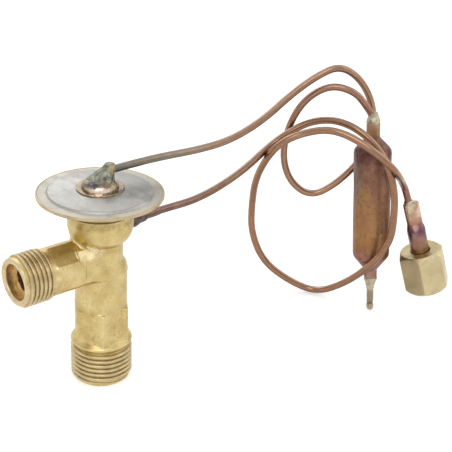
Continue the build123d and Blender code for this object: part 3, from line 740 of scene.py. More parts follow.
@dataclass(frozen=True)
class MetalFinish:
    """One metal surface: its mottled colour, bands along a run, discoloured patches and patches of painted
    light, specks, gloss and grain, with rubbed edges and painted shade.
    """

    name: str
    pale: Colour
    deep: Colour
    mottle: float = 4.0  # width of a colour patch, millimetres
    stretch: Point3 = (1, 1, 1)
    bands: tuple[tuple[float, ...], ...] = ()  # millimetres along the run, and the colour there
    band_share: float = 0.85
    band_waver: float = 2.6  # how far the bands stray, millimetres
    # real discolourings, and patches of painted highlight, reflection or shadow
    stains_and_painted_light: tuple[StainOrPaintedLight, ...] = ()
    speck: Colour = (0.1, 0.06, 0.03)
    speck_size: float = 0.7
    speck_share: float = 0.0  # 0 to 1, how much of the surface is specked
    gloss: tuple[float, float] = (0.25, 0.45)  # roughness from the polished to the dull patches
    dent: float = 0.02  # depth of the fine bump, millimetres
    # edges paled by rubbing and a painted highlight, hollows darkened by dirt and painted shade
    dent_size: float = 0.5
    # painted shade on what faces the shaded way, and a painted highlight on what faces away from it
    wear_and_cavity_shading: float = 0.0  # how far edges are paled and hollows darkened
    shade: float = 0.0  # how far what faces the shaded way is darkened
    shaded: Point3 = (0, 0, -1)
    metallic: float = 1.0

    def material(self) -> bpy.types.Material:
        """Builds the material.

        Returns:
            The material, ready to give to a mesh.
        """
        recipe = Recipe(self.name)
        patches = recipe.grain(self.mottle, 5, self.stretch)
        fine = recipe.grain(self.dent_size, 3, self.stretch, seed=3.1)
        colour = recipe.mix(recipe.fit(patches, 0.36, 0.64, 0, 1), self.pale, self.deep)
        if self.bands:
            colour = self.banded(recipe, colour)
        ragged = recipe.grain(1.6, 4, seed=5.3)
        # lays each real discolouring and each patch of painted highlight, reflection or shadow over the
        # colour
        for tint_spot in self.stains_and_painted_light:
            mask = recipe.spot(tint_spot.centre, tint_spot.reach, ragged)
            colour = recipe.mix(recipe.math("MULTIPLY", mask, tint_spot.strength), colour, tint_spot.colour)
        if self.speck_share:
            cut = 0.66 - 0.22 * self.speck_share
            specks = recipe.fit(recipe.grain(self.speck_size, 2, seed=9.7), cut, cut + 0.16, 0, 0.6)
            colour = recipe.mix(specks, colour, self.speck)
        smears = recipe.grain(self.mottle * 0.6, 4, self.stretch, seed=7.7)
        gloss = recipe.fit(smears, 0.35, 0.65, *self.gloss)
        bump = recipe.add("ShaderNodeBump", {"Height": fine, "Distance": self.dent * MM, "Strength": 1.0},
                          output="Normal")
        for label, socket in (("Base Color", self.painted_light_and_wear(recipe, colour)), ("Roughness", gloss),
                              ("Normal", bump)):
            recipe.tree.links.new(socket, recipe.shader[label])
        recipe.shader["Metallic"].default_value = self.metallic
        return recipe.material

    def painted_light_and_wear(self, recipe: Recipe, colour: Socket) -> Socket:
        """Pales the edges and darkens the hollows, as rubbing and dirt with painted highlights and painted
        shade; darkens what faces the shaded way with painted shade, and pales what faces away with a painted
        highlight.

        Args:
            recipe: the material being written.
            colour: the metal so far.

        Returns:
            The coloured result.
        """
        layers = []
        if self.wear_and_cavity_shading:
            # painted highlight with rubbing on the edges, painted shade with dirt in the hollows
            bent = recipe.add("ShaderNodeNewGeometry", output="Pointiness")
            layers += [(bent, 0.51, 0.57, 0.4 * self.wear_and_cavity_shading, (1.0, 0.93, 0.8), "SCREEN"),
                       (bent, 0.49, 0.42, self.wear_and_cavity_shading, (0.35, 0.30, 0.25), "MULTIPLY")]
        if self.shade:
            # painted shade by facing: darker towards the shaded way, paler away from it
            normal = recipe.add("ShaderNodeTexCoord", output="Normal")
            facing = recipe.add("ShaderNodeVectorMath", {0: normal, 1: self.shaded}, output="Value",
                                operation="DOT_PRODUCT")
            layers += [(facing, 0.2, 0.8, self.shade, (0.42, 0.37, 0.34), "MULTIPLY"),
                       (facing, -0.5, -0.95, 0.12 * self.shade, (1.0, 0.9, 0.8), "SCREEN")]
        for value, start, full, strength, tint, mode in layers:
            colour = recipe.mix(recipe.fit(value, start, full, 0, strength), colour, tint, mode)
        return colour

    def banded(self, recipe: Recipe, colour: Socket) -> Socket:
        """Lays heat colours over the metal along its run.

        Args:
            recipe: the material being written.
            colour: the metal under the bands.

        Returns:
            The coloured result.
        """
        run = recipe.add("ShaderNodeAttribute", output="Fac", attribute_name=RUN)
        waver = recipe.fit(recipe.grain(4.5, 4, seed=1.3), 0.3, 0.7, -self.band_waver, self.band_waver)
        first, last = self.bands[0][0], self.bands[-1][0]
        share = recipe.fit(recipe.math("ADD", run, waver), first, last, 0, 1)
        stops = [((spot - first) / (last - first), tint) for spot, *tint in self.bands]
        patchy = recipe.fit(recipe.grain(3.0, 4, seed=2.2), 0.3, 0.6, self.band_share * 0.55, self.band_share)
        return recipe.mix(patchy, colour, recipe.ramp(share, stops))


# Painted light here: a painted highlight on the struck facet, the inlet's mouth and bore painted tan against
# their shade, a painted shadow of the head round the bowl, painted highlights on edges and painted shade in
# hollows.
CAST_BRASS = MetalFinish(
    "cast_brass", (0.66, 0.53, 0.25), (0.52, 0.39, 0.155), mottle=6, speck=(0.2, 0.14, 0.06), speck_size=0.6,
    speck_share=0.3, gloss=(0.3, 0.46), dent=0.03, dent_size=0.9, wear_and_cavity_shading=0.35, stains_and_painted_light=(StainOrPaintedLight((-7.8, -5.9, 47.3),
    (4.4, 3, 2.2), (0.95, 0.83, 0.56), 0.5), StainOrPaintedLight((-23, 0, 41.88), (9, 7.4, 7.4), (0.78, 0.58, 0.38), 0.95),
    StainOrPaintedLight((-30.4, 0, 41.88), (1.3, 9, 9), (0.6, 0.46, 0.3), 0.8), StainOrPaintedLight((0, 0, 56), (12, 12, 2.6),
    (0.3, 0.21, 0.09), 0.6), StainOrPaintedLight((0, 0, 20), (6.6, 6.6, 16), (0.3, 0.2, 0.09), 0.8)))
# Painted highlight on the crests and painted shade in the roots, with rubbing and dirt.
THREAD_BRASS = MetalFinish(
    "thread_brass", (0.62, 0.51, 0.3), (0.49, 0.38, 0.2), mottle=3, speck=(0.2, 0.13, 0.06), speck_share=0.25,
    gloss=(0.26, 0.42), dent=0.012, dent_size=0.3, wear_and_cavity_shading=0.2)
# Painted shade on the faces turned to the left, away from the light; painted highlights on edges and painted
# shade in hollows.
NUT_BRASS = MetalFinish(
    "nut_brass", (0.6, 0.5, 0.3), (0.49, 0.4, 0.22), mottle=6, speck=(0.3, 0.22, 0.12), speck_size=0.5,
    speck_share=0.2, gloss=(0.34, 0.5), dent=0.02, dent_size=0.7, wear_and_cavity_shading=0.6, shade=0.65,
    shaded=(-0.9, 0.43, 0), stains_and_painted_light=(StainOrPaintedLight((118.5, -41, 18), (5, 5, 8), (0.5, 0.42, 0.28), 0.6),))
# The pale patch along the front rim is a painted reflection of the floor.
TINNED_COVER = MetalFinish(
    "tinned_cover", (0.41, 0.405, 0.38), (0.33, 0.32, 0.295), mottle=5, stretch=(1.0, 2.6, 1),
    bands=((62.3, 0.48, 0.41, 0.3), (62.9, 0.43, 0.4, 0.34), (63.25, 0.37, 0.36, 0.335),
    (64.3, 0.38, 0.375, 0.35)), band_waver=0.2, band_share=0.8, speck=(0.2, 0.18, 0.15), speck_size=0.8,
    speck_share=0.25, gloss=(0.3, 0.48), dent=0.02, dent_size=1.2, stains_and_painted_light=(StainOrPaintedLight((4.6, -9.6, 63.6),
    (2.8, 1.9, 2), (0.27, 0.26, 0.25), 0.7), StainOrPaintedLight((8.2, -12.2, 63.3), (2.8, 1.9, 2), (0.27, 0.26, 0.25),
    0.7), StainOrPaintedLight((-2, -18.6, 62.6), (14, 2.6, 0.8), (0.5, 0.44, 0.34), 0.7), StainOrPaintedLight((-6, 9, 63.8), (7, 5, 3),
    (0.5, 0.49, 0.46), 0.6)))
YELLOW_COVER = MetalFinish(
    "yellow_cover", (0.58, 0.47, 0.28), (0.42, 0.33, 0.18), mottle=5, gloss=(0.32, 0.48),
    speck=(0.25, 0.17, 0.09), speck_share=0.2, dent=0.02)
# The pale patch low at the front is a painted highlight; the dark blue patch on top is heat tint with a
# painted dark reflection.
DOME_COPPER = MetalFinish(
    "dome_copper", (0.38, 0.3, 0.2), (0.22, 0.17, 0.11), mottle=3, gloss=(0.1, 0.26), dent=0.012,
    dent_size=1.0, speck=(0.06, 0.05, 0.05), speck_size=0.8, speck_share=0.3,
    stains_and_painted_light=(StainOrPaintedLight((-3.5, -4.3, 65.3), (4.0, 3.4, 1.1), (0.8, 0.63, 0.52), 0.85), StainOrPaintedLight((-3.0, -1.6, 66.7),
    (2.6, 2.2, 1.3), (0.05, 0.06, 0.09), 0.9)))
# The ochre patch at the top is a painted highlight.
GREY_SOLDER = MetalFinish(
    "grey_solder", (0.33, 0.34, 0.26), (0.12, 0.11, 0.09), mottle=1.8, gloss=(0.3, 0.6),
    speck=(0.05, 0.04, 0.03), speck_size=0.5, speck_share=0.6, dent=0.12, dent_size=0.8,
    stains_and_painted_light=(StainOrPaintedLight((3.2, -2.2, 70.2), (1.8, 1.8, 1.2), (0.46, 0.34, 0.16), 0.7),))
PALE_SOLDER = MetalFinish(
    "pale_solder", (0.54, 0.5, 0.38), (0.36, 0.31, 0.2), mottle=1.4, gloss=(0.25, 0.5),
    speck=(0.24, 0.16, 0.1), speck_share=0.5, dent=0.08, dent_size=0.6)
# Painted shade on the tube's underside and a painted highlight on its top.
CAPILLARY_COPPER = MetalFinish(
    "capillary_copper", (0.42, 0.26, 0.17), (0.24, 0.13, 0.08), mottle=3.5, shade=0.95,
    bands=((0.0, 0.09, 0.1, 0.08), (16.0, 0.12, 0.13, 0.11), (28.0, 0.19, 0.17, 0.13),
    (48.0, 0.28, 0.17, 0.11), (150.0, 0.32, 0.18, 0.115), (222.0, 0.3, 0.16, 0.11), (234.0, 0.2, 0.09, 0.08),
    (240.0, 0.26, 0.14, 0.1)), band_share=1.0, speck=(0.14, 0.08, 0.05), speck_share=0.25, gloss=(0.18, 0.32),
    dent=0.012)
# Painted shade on the tube's underside and a painted highlight on its top.
EQUALISER_COPPER = MetalFinish(
    "equaliser_copper", (0.38, 0.23, 0.14), (0.23, 0.12, 0.07), mottle=3.5, shade=0.95,
    bands=((0.0, 0.11, 0.065, 0.06), (18.0, 0.15, 0.085, 0.07), (44.0, 0.24, 0.13, 0.08),
    (160.0, 0.29, 0.155, 0.09), (316.0, 0.3, 0.165, 0.1), (334.0, 0.22, 0.09, 0.1), (345.0, 0.3, 0.17, 0.12)),
    band_share=1.0, speck=(0.13, 0.07, 0.05), speck_share=0.25, gloss=(0.16, 0.3), dent=0.012)
CUFF_COPPER = MetalFinish(
    "cuff_copper", (0.15, 0.11, 0.1), (0.07, 0.05, 0.05), mottle=2, gloss=(0.3, 0.5), speck=(0.32, 0.2, 0.14),
    speck_share=0.2, dent=0.05)
BULB_COPPER = MetalFinish(
    "bulb_copper", (0.4, 0.24, 0.14), (0.2, 0.11, 0.08), mottle=4, band_share=0.95, stretch=(1, 1, 3.2),
    bands=((12.0, 0.4, 0.28, 0.2), (18.0, 0.34, 0.15, 0.13), (22.5, 0.32, 0.14, 0.12),
    (24.5, 0.27, 0.12, 0.06), (31.0, 0.36, 0.19, 0.07), (37.0, 0.33, 0.17, 0.075), (45.0, 0.26, 0.13, 0.075),
    (52.0, 0.22, 0.105, 0.07), (57.0, 0.15, 0.065, 0.05), (62.0, 0.09, 0.03, 0.035), (65.0, 0.16, 0.08, 0.07),
    (68.0, 0.32, 0.17, 0.08), (73.0, 0.5, 0.36, 0.24)), speck=(0.1, 0.05, 0.03), speck_size=1.3,
    speck_share=0.4, gloss=(0.42, 0.6), dent=0.03, dent_size=1.2, stains_and_painted_light=(StainOrPaintedLight((90.9, -23.5, 45),
    (2.0, 3.0, 5), (0.34, 0.19, 0.07), 0.7), StainOrPaintedLight((98.2, -28.5, 38), (2.6, 3.5, 12), (0.17, 0.075, 0.045),
    0.7), StainOrPaintedLight((92.0, -18, 52), (3, 4, 9), (0.24, 0.19, 0.16), 0.6)))
# The pale pink patch on the front near the joint is a painted highlight.
STUB_COPPER = MetalFinish(
    "stub_copper", (0.42, 0.26, 0.17), (0.28, 0.16, 0.11), mottle=2.5, band_waver=1.5,
    bands=((-18.0, 0.26, 0.15, 0.08), (-14.0, 0.27, 0.14, 0.1), (-12.0, 0.14, 0.06, 0.09),
    (-10.8, 0.05, 0.035, 0.09), (-9.6, 0.15, 0.055, 0.09), (-7.6, 0.36, 0.18, 0.13), (-5.0, 0.5, 0.31, 0.22),
    (0.0, 0.46, 0.3, 0.21)), stains_and_painted_light=(StainOrPaintedLight((104.9, -31.7, 42.0), (1.7, 1.7, 2.4), (0.56, 0.49, 0.34), 0.9),
    StainOrPaintedLight((107.6, -33.4, 40.5), (1.0, 1.2, 3.0), (0.72, 0.52, 0.42), 0.7)), speck=(0.14, 0.08, 0.08),
    speck_share=0.25, gloss=(0.22, 0.4), dent=0.03)
CHARGE_COPPER = MetalFinish(
    "charge_copper", (0.38, 0.31, 0.23), (0.16, 0.11, 0.07), mottle=1.5, gloss=(0.2, 0.4),
    bands=((0.0, 0.52, 0.46, 0.34), (1.8, 0.42, 0.34, 0.24), (2.6, 0.1, 0.07, 0.05), (3.6, 0.3, 0.23, 0.16),
    (9.0, 0.36, 0.29, 0.2)), band_waver=0.4, speck_share=0.3, dent=0.03)
BRIGHT_STEEL = MetalFinish(
    "bright_steel", (0.55, 0.55, 0.56), (0.42, 0.42, 0.43), mottle=3, gloss=(0.18, 0.32), dent=0.006)
TURNED_BRASS = MetalFinish(
    "turned_brass", (0.7, 0.56, 0.3), (0.58, 0.44, 0.2), mottle=3, gloss=(0.2, 0.35), dent=0.008,
    dent_size=0.3)
PACKING_RUBBER = MetalFinish(
    "packing_rubber", (0.05, 0.05, 0.05), (0.03, 0.03, 0.03), metallic=0.0, gloss=(0.55, 0.75), dent=0.03)


# ---- the valve


@dataclass
class Dresser:
    """Gives each piece its finish and its place among the bodies, and reports it."""

    nodes: dict[str, Piece]
    materials: dict[str, bpy.types.Material] = field(default_factory=dict)

    def coat(self, piece: Piece, finish: MetalFinish) -> None:
        """Gives a piece the finish's material, which is built once.

        Args:
            piece: a piece made here or packed.
            finish: its surface.
        """
        if finish.name not in self.materials:
            self.materials[finish.name] = finish.material()
        piece.data.materials.clear()
        piece.data.materials.append(self.materials[finish.name])
        LOG.info("%s: %s", piece.name, finish.name)

    def dress(self, piece: Piece, finish: MetalFinish, slot: str, *replaces: str,
              body: Body | None = Body.VALVE) -> None:
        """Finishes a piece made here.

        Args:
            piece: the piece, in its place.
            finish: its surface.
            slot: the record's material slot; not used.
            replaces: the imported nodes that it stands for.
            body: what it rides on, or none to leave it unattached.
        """
        self.coat(piece, finish)
        if body:
            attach(piece, body.value)
        if replaces:
            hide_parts(*replaces)

    def turn(self, name: str, outline: Outline, finish: MetalFinish, slot: str, node: str,
             place: AxisFrame = AxisFrame(), segments: int = 48, form: Form | None = None,
             ring: bool = False) -> None:
        """Turns a piece and finishes it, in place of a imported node.

        Args:
            name: the piece's name.
            outline: radius and height of each point.
            finish: its surface.
            slot: the record's material slot.
            node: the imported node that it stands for.
            place: where its axis is.
            segments: faces round the axis.
            form: reshapes its points.
            ring: the outline is a closed loop round a hole.
        """
        self.dress(turned(name, outline, place, segments, form, ring), finish, slot, node)

    def wind(self, name: str, place: AxisFrame, radius: float, height: float, pitch: float, length: float,
             widths: tuple[float, float], run_out: float, body: Body = Body.VALVE) -> None:
        """Winds the ridge of a screw thread.

        Args:
            name: the piece's name.
            place: where it starts and the way it climbs.
            radius: radius of its foot.
            height: how far it stands out, or in where negative.
            pitch: rise of one turn.
            length: how far it climbs.
            widths: foot and crest, in pitches.
            run_out: share of the length over which each end fades.
            body: what it rides on.
        """
        values = {"Radius": radius * MM, "Pitch": pitch * MM, "Turns": length / pitch, "Height": height * MM,
                  "Root": pitch * widths[0] * MM, "Crest": pitch * widths[1] * MM, "Run-out": run_out}
        ridge = helix_tree("Thread of " + name, False).made(name, values, place=place.matrix())
        self.dress(ridge, THREAD_BRASS, "turned_brass", body=body)


@dataclass
class Forging:
    """The brass body: threaded outlet, wrench hexagon, stem, neck, flange and inlet branch."""

    outlet_crest: float = 9.525
    outlet_root: float = 8.80
    outlet_length: float = 12.9
    outlet_pitch: float = 1.5875
    hex_flat: float = 15.875 / 2
    hex_top: float = 25.65
    stem: float = 8.05
    stem_top: float = 38.5
    bead: float = 0.22  # ridge at the stem's shoulder
    neck: float = 6.4
    gusset: float = 5.5  # the neck narrows to this on the branch's side
    gusset_x: float = -3.4
    flange: float = 9.95
    bowl_bottom: float = 47.5
    bowl_top: float = 53.2
    top: float = 57.0
    branch_z: float = 41.88
    branch_flat: float = 13.7 / 2
    branch_length: float = 19.46
    inlet_crest: float = 7.9375
    inlet_root: float = 7.30
    inlet_length: float = 10.7
    inlet_pitch: float = 1.411
    inlet_mouth: float = 5.4
    facet_middle: Point3 = (-7.8, -5.8, 47.1)
    facet_normal: Point3 = (0.08, -0.8, 0.6)
    facet_half: Point3 = (3.8, 1.9, 1.5)
    port_z: float = 50.9
    port: float = 2.75
    port_floor: float = 8.0
    cell: float = 0.3

    def stem_outline(self) -> Outline:
        """Turned form of the stem, from the outlet's face to the head.

        Returns:
            Radius and height of each point.
        """
        collar, root, crest = self.outlet_length, self.outlet_root, self.outlet_crest
        bowl = arc((self.neck, self.bowl_top), (self.flange - self.neck, self.bowl_bottom - self.bowl_top), 9)
        return [(0, 0), (root - 0.5, 0), (root, 0.5), (root, collar - 0.9), (crest - 0.35, collar - 0.2),
                (crest, collar + 0.2), (crest, collar + 0.7), (self.hex_flat - 0.2, collar + 2.3),
                (self.stem, collar + 4), (self.stem, self.stem_top - 1.5),
                (self.stem + self.bead, self.stem_top - 1.1),
                (self.stem + self.bead, self.stem_top - 0.6),
                *arc((self.neck, self.stem_top), (self.stem - self.neck, 2.5), 7), *bowl[::-1],
                (self.flange, self.top), (0, self.top)]

    def bore_outline(self) -> Outline:
        """Spring chamber, orifice, pin guide and packing recess, as one cut.

        Returns:
            Radius and height of each point.
        """
        mouth, chamber, orifice, guide, packing = 7.2, 5.6, 1.5, 0.9, 2.2
        seat, guide_foot, recess, above = 34.0, 41.9, self.top - 2.6, self.top + 2
        return [(0, -2), (mouth + 0.5, -2), (mouth + 0.5, 0), (mouth, 0.5), (mouth, 3), (chamber, 4.6),
                (chamber, seat - 1), (chamber - 1, seat), (orifice, seat), (orifice, guide_foot),
                (guide, guide_foot), (guide, recess), (packing, recess), (packing, above), (0, above)]

    def inlet_outlines(self) -> tuple[Outline, Outline]:
        """Inlet's outside beyond the branch's hexagon and its bore, by distance from the stem's axis.

        Returns:
            The outside and the bore.
        """
        end, mouth, nose, bore = self.branch_length + self.inlet_length, self.inlet_mouth, 0.55, 3.7
        outside = [(0, 10), (self.inlet_root, 10),
                   *arc((self.inlet_root - nose, end - nose), (nose, nose), 5), (0, end)]
        return outside, [(0, -4), (bore, -3), (bore, end - 3.2), (mouth, end - 3.2), (mouth, end - 0.5),
                         (mouth + 0.5, end), (mouth + 0.5, end + 2), (0, end + 2)]

    def field(self) -> Distance:
        """The whole body's distance field.

        Returns:
            A function of x, y and z in millimetres.
        """
        stem, bore = TurnedField(self.stem_outline()), TurnedField(self.bore_outline())
        inlet, inlet_bore = (TurnedField(outline) for outline in self.inlet_outlines())
        low, crown, corner = self.outlet_length + 0.3, 0.9, 9.6
        wrench = TurnedField([(0, low), (self.hex_flat + 0.3, low), (corner, low + 1.0),
                              (corner, self.hex_top - crown), (self.stem - 0.1, self.hex_top),
                              (0, self.hex_top)])

        def distance(x: Array, y: Array, z: Array) -> Array:
            """Signed distance to the brass.

            Args:
                x: first coordinates, in millimetres.
                y: second coordinates.
                z: third coordinates.

            Returns:
                The distances, negative inside.
            """
            r = np.hypot(x, y)
            nut = smooth_max(hexagon(x, y, self.hex_flat, 30, 0.15), wrench(r, z), 0.15)
            body = smooth_min(stem(r, z), nut, 0.3)
            share = np.clip(x / self.gusset_x, 0, 1)
            neck = np.hypot(x - share * self.gusset_x, y) - self.neck - share * (self.gusset - self.neck)
            neck = smooth_max(neck, np.abs(z - (self.stem_top + self.bowl_top) / 2) - 6.2, 0.5)
            body = smooth_min(body, neck, 1.5)
            v, out = z - self.branch_z, -x
            arm = hexagon(y, v, self.branch_flat, 0, 0.7)
            arm = smooth_max(smooth_max(arm, out - self.branch_length, 0.7), -out - 2, 0.7)
            body = smooth_min(body, arm, 2.0)
            body = smooth_min(body, self.struck_facet(x, y, z), 0.15)
            axial = np.hypot(y, v)
            body = smooth_min(body, inlet(axial, out), 0.4)
            port = np.maximum(np.hypot(y, z - self.port_z) - self.port, self.port_floor - x)
            for cut in (bore(r, z), inlet_bore(axial, out), port):
                body = smooth_max(body, -cut, 0.25)
            return body

        return distance

    def struck_facet(self, x: Array, y: Array, z: Array) -> Array:
        """Signed distance to the flat pad where the branch's upper edge runs into the stem.

        Args:
            x: coordinates along the branch.
            y: coordinates across it.
            z: heights.

        Returns:
            The distances.
        """
        normal = Vector(self.facet_normal).normalized()
        along = (Vector((1, 0, 0)) - normal * normal.x).normalized()
        middle = Vector(self.facet_middle) - normal * self.facet_half[2]
        away = np.stack((x - middle.x, y - middle.y, z - middle.z), axis=-1)
        sides = np.array((along, normal.cross(along), normal))
        return (np.abs(away @ sides.T) - self.facet_half).max(axis=-1)

    def build(self, dresser: Dresser) -> None:
        """Makes the body and its two threads.

        Args:
            dresser: finishes the pieces.
        """
        end, edge, margin = self.branch_length + self.inlet_length, 10.6, 0.6
        points, faces = skinned(self.field(), (-end - margin, -edge, -margin),
                                (edge, edge, self.top + margin), self.cell)
        body = mesh_piece("forged_body", points, faces.tolist(), sharp=50)
        dresser.dress(body, CAST_BRASS, "cast_brass", "valve_body")
        sink, inset = 0.12, 0.75
        for name, place, root, crest, pitch, length in (
                ("outlet_thread", AxisFrame((0, 0, inset)), self.outlet_root, self.outlet_crest,
                 self.outlet_pitch, self.outlet_length - 2 * inset),
                ("inlet_thread", AxisFrame((inset - end, 0, self.branch_z), (1, 0, 0)), self.inlet_root,
                 self.inlet_crest, self.inlet_pitch, self.inlet_length - 2 * inset)):
            dresser.wind(name, place, root - sink, crest - root + sink, pitch, length, (1.04, 0.34),
                         0.6 * pitch / length)


@dataclass
class Head:
    """Diaphragm head: two pressed covers, the dome on top and its lump of solder."""

    radius: float = 19.05
    wall: float = 0.45
    base: float = 57.0
    rim: float = 61.93
    rim_height: float = 1.0
    lip: float = 0.5  # the lower cover's lip round the upper one
    step: float = 16.0
    plateau: float = 15.4
    plateau_rise: float = 0.57
    crown_rise: float = 1.27
    seam: float = 0.63  # from the rim's foot up to the upper cover
    mouth: float = 7.4
    bowl: float = 9.6
    hole: float = 4.3
    dome_base: float = 7.25
    dome: float = 5.6
    dome_flange: float = 0.4
    dome_rise: float = 2.8
    dome_fullness: float = 0.75  # a lower power makes a fuller dome
    solder_height: float = 4.4
    solder_lean: float = 3.2

    def build(self, dresser: Dresser) -> None:
        """Makes the covers, the dome and the solder.

        Args:
            dresser: finishes the pieces.
        """
        wall, low, top = self.wall, self.rim, self.rim + self.rim_height
        inner, crown = self.radius - self.lip, top + self.crown_rise
        under = rounded([(self.mouth, self.base, 0), (self.bowl, self.base, 0.5), (self.step, low, 0.9),
                         (self.radius, low, 0.25), (self.radius, top, 0.25), (inner, top, 0.15),
                         (inner, low + wall, 0), (self.step - wall / 2, low + wall, 0.5),
                         (self.bowl - wall / 2, self.base + wall, 0.4), (self.mouth, self.base + wall, 0)])
        dresser.turn("lower_cover_pressing", under, YELLOW_COVER, "yellow_cover", "lower_cover", segments=128,
                     ring=True)
        seam, edge, plateau = low + self.seam, top - 0.05, top + self.plateau_rise
        over = rounded([(self.hole, crown, 0), (self.hole, crown - wall, 0),
                        (self.dome_base, crown - wall, 0.3), (self.plateau, plateau - wall, 0.4),
                        (self.step - wall / 2, seam, 0.3),
                        (inner, seam, 0.1), (inner, edge, 0.1), (self.step, edge, 0.35),
                        (self.plateau, plateau, 0.5), (self.dome_base, crown, 0.3)])
        dresser.turn("upper_cover_pressing", over, TINNED_COVER, "grey_cover", "upper_cover", segments=128,
                     ring=True)
        dresser.coat(dresser.nodes["diaphragm"], BRIGHT_STEEL)
        foot = crown + self.dome_flange
        bulge = [(self.dome * math.cos(a) ** self.dome_fullness, foot + self.dome_rise * math.sin(a))
                 for a in np.linspace(0, math.pi / 2, 14)]
        flange = rounded([(self.dome_base, crown, 0), (self.dome_base, foot, 0.2),
                          (self.dome + 0.3, foot, 0.1)])
        dresser.turn("capillary_dome", [(0, crown), *flange, *bulge[:-1], (0, bulge[-1][1])], DOME_COPPER,
                     "bright_copper", "capillary_boss", segments=96)
        lump = rounded([(0, 0, 0), (3.9, 0, 0), (3.8, 0.6, 0.3), (3.0, 1.7, 0.9), (2.3, 3.0, 0.9),
                        (1.45, self.solder_height, 0.7), (0, self.solder_height + 0.2, 0)], steps=8)
        dresser.turn("head_solder_lump", lump, GREY_SOLDER, "green_solder", "head_solder",
                     AxisFrame((0, 0, crown + 2.5)), 72, self.leaned)

    def leaned(self, points: Array) -> Array:
        """Leans the solder towards the tube and gives it its bumps.

        Args:
            points: the turned lump.

        Returns:
            The leaning lump.
        """
        bumpy = roughened(roughened(points, 0.55, 1.9, 4.2), 0.25, 0.7, 8.1)
        bumpy[:, 0] += 0.3 + self.solder_lean * eased(np.clip(points[:, 2] / self.solder_height, 0, 1))
        return bumpy


@dataclass
class Tubes:
    """The two small copper tubes and the cuff under the head."""

    capillary: float = 1.175
    equaliser: float = 1.2
    cuff: float = 2.75

    CAPILLARY_ROUTE = [
        (0, 0, 64.2), (0, 0, 69.0), (10, 0, 69.1), (22, 0, 68.9), (37, 0, 67.8), (49.5, -0.8, 68.5),
        (62, -2, 73), (73, -3, 80), (81.5, -5.5, 85.4), (88, -9.5, 89), (96, -12, 83.5),
        (101.5, -13.5, 74), (103.5, -13, 64), (101, -11.5, 53.7), (94, -7, 44.5), (87, -2, 39.5),
        (80, 2, 45.5), (76.5, 3, 56), (77, 1, 68), (80, -3, 77.5), (85, -9, 82.8), (90.5, -15, 81),
        (93.8, -17.6, 76), (95.76, -19.27, 72.4), (96.07, -19.54, 67.0),
    ]
    EQUALISER_ROUTE = [
        (8, 0, 50.9), (24, 0, 50.95), (38, 0, 50.7), (55, 0, 55.3), (70, 2.5, 61), (76, -1.5, 66.5),
        (81.5, -6, 70.2), (85, -14, 72), (87.5, -23.5, 69.8), (91.7, -30.2, 62), (93.8, -33.5, 51.6),
        (95, -33.5, 41), (95.5, -32.5, 31.5), (92.5, -27.5, 21.3), (93.7, -15.8, 9.2), (93, -3.5, 0.2),
        (85.5, 3.2, 3.9), (76.8, 9.4, 12.3), (72.5, 12, 24.5), (71, 10.8, 36), (67.8, 6.1, 48.8),
        (66.3, -2, 61), (69.6, -5.2, 65.5), (74.5, -9, 68.3), (78, -16, 71), (81.5, -23, 70),
        (86, -31, 65.6), (89.9, -34.5, 61), (95.2, -33.3, 56.3), (100.6, -30.3, 52.0),
        (104.8, -29.55, 46.7), (106.95, -31.45, 37.08),
    ]

    def build(self, dresser: Dresser) -> None:
        """Draws both tubes and makes the cuff and its joint.

        Args:
            dresser: finishes the pieces.
        """
        tree = tube_tree()
        for name, route, radius, finish in (
                ("capillary_tube", self.CAPILLARY_ROUTE, self.capillary, CAPILLARY_COPPER),
                ("equaliser_tube", self.EQUALISER_ROUTE, self.equaliser, EQUALISER_COPPER)):
            values = {"Radius": radius * MM, "Sides": 28, "Spacing": 0.6 * MM}
            tube = tree.made(name + "_drawn", values, source=route_curve(name + "_route", route))
            dresser.dress(tube, finish, "brown_copper", name)
        port = AxisFrame((8.0, 0, 50.9), (1, 0, 0))
        cuff = rounded([(0, 0, 0), (self.cuff, 0, 0.1), (self.cuff, 3.0, 0.2), (self.cuff - 0.1, 4.4, 0.5),
                        (self.cuff - 0.7, 6.0, 0.8), (1.9, 8.0, 0.6), (1.5, 8.6, 0.3), (0, 8.6, 0)])
        dresser.turn("equaliser_cuff_turned", cuff, CUFF_COPPER, "dark_copper", "equaliser_cuff", port, 64,
                     rough(0.12, 2.4, 1.1))
        joint = rounded([(0, 7.9, 0), (1.8, 8.0, 0.2), (1.6, 9.0, 0.5), (1.42, 11.0, 0.8), (1.28, 14.4, 0.5),
                         (0, 14.5, 0)])
        dresser.turn("equaliser_joint", joint, EQUALISER_COPPER, "dark_copper", "equaliser_solder", port,
                     form=rough(0.3, 1.5, 9.4))


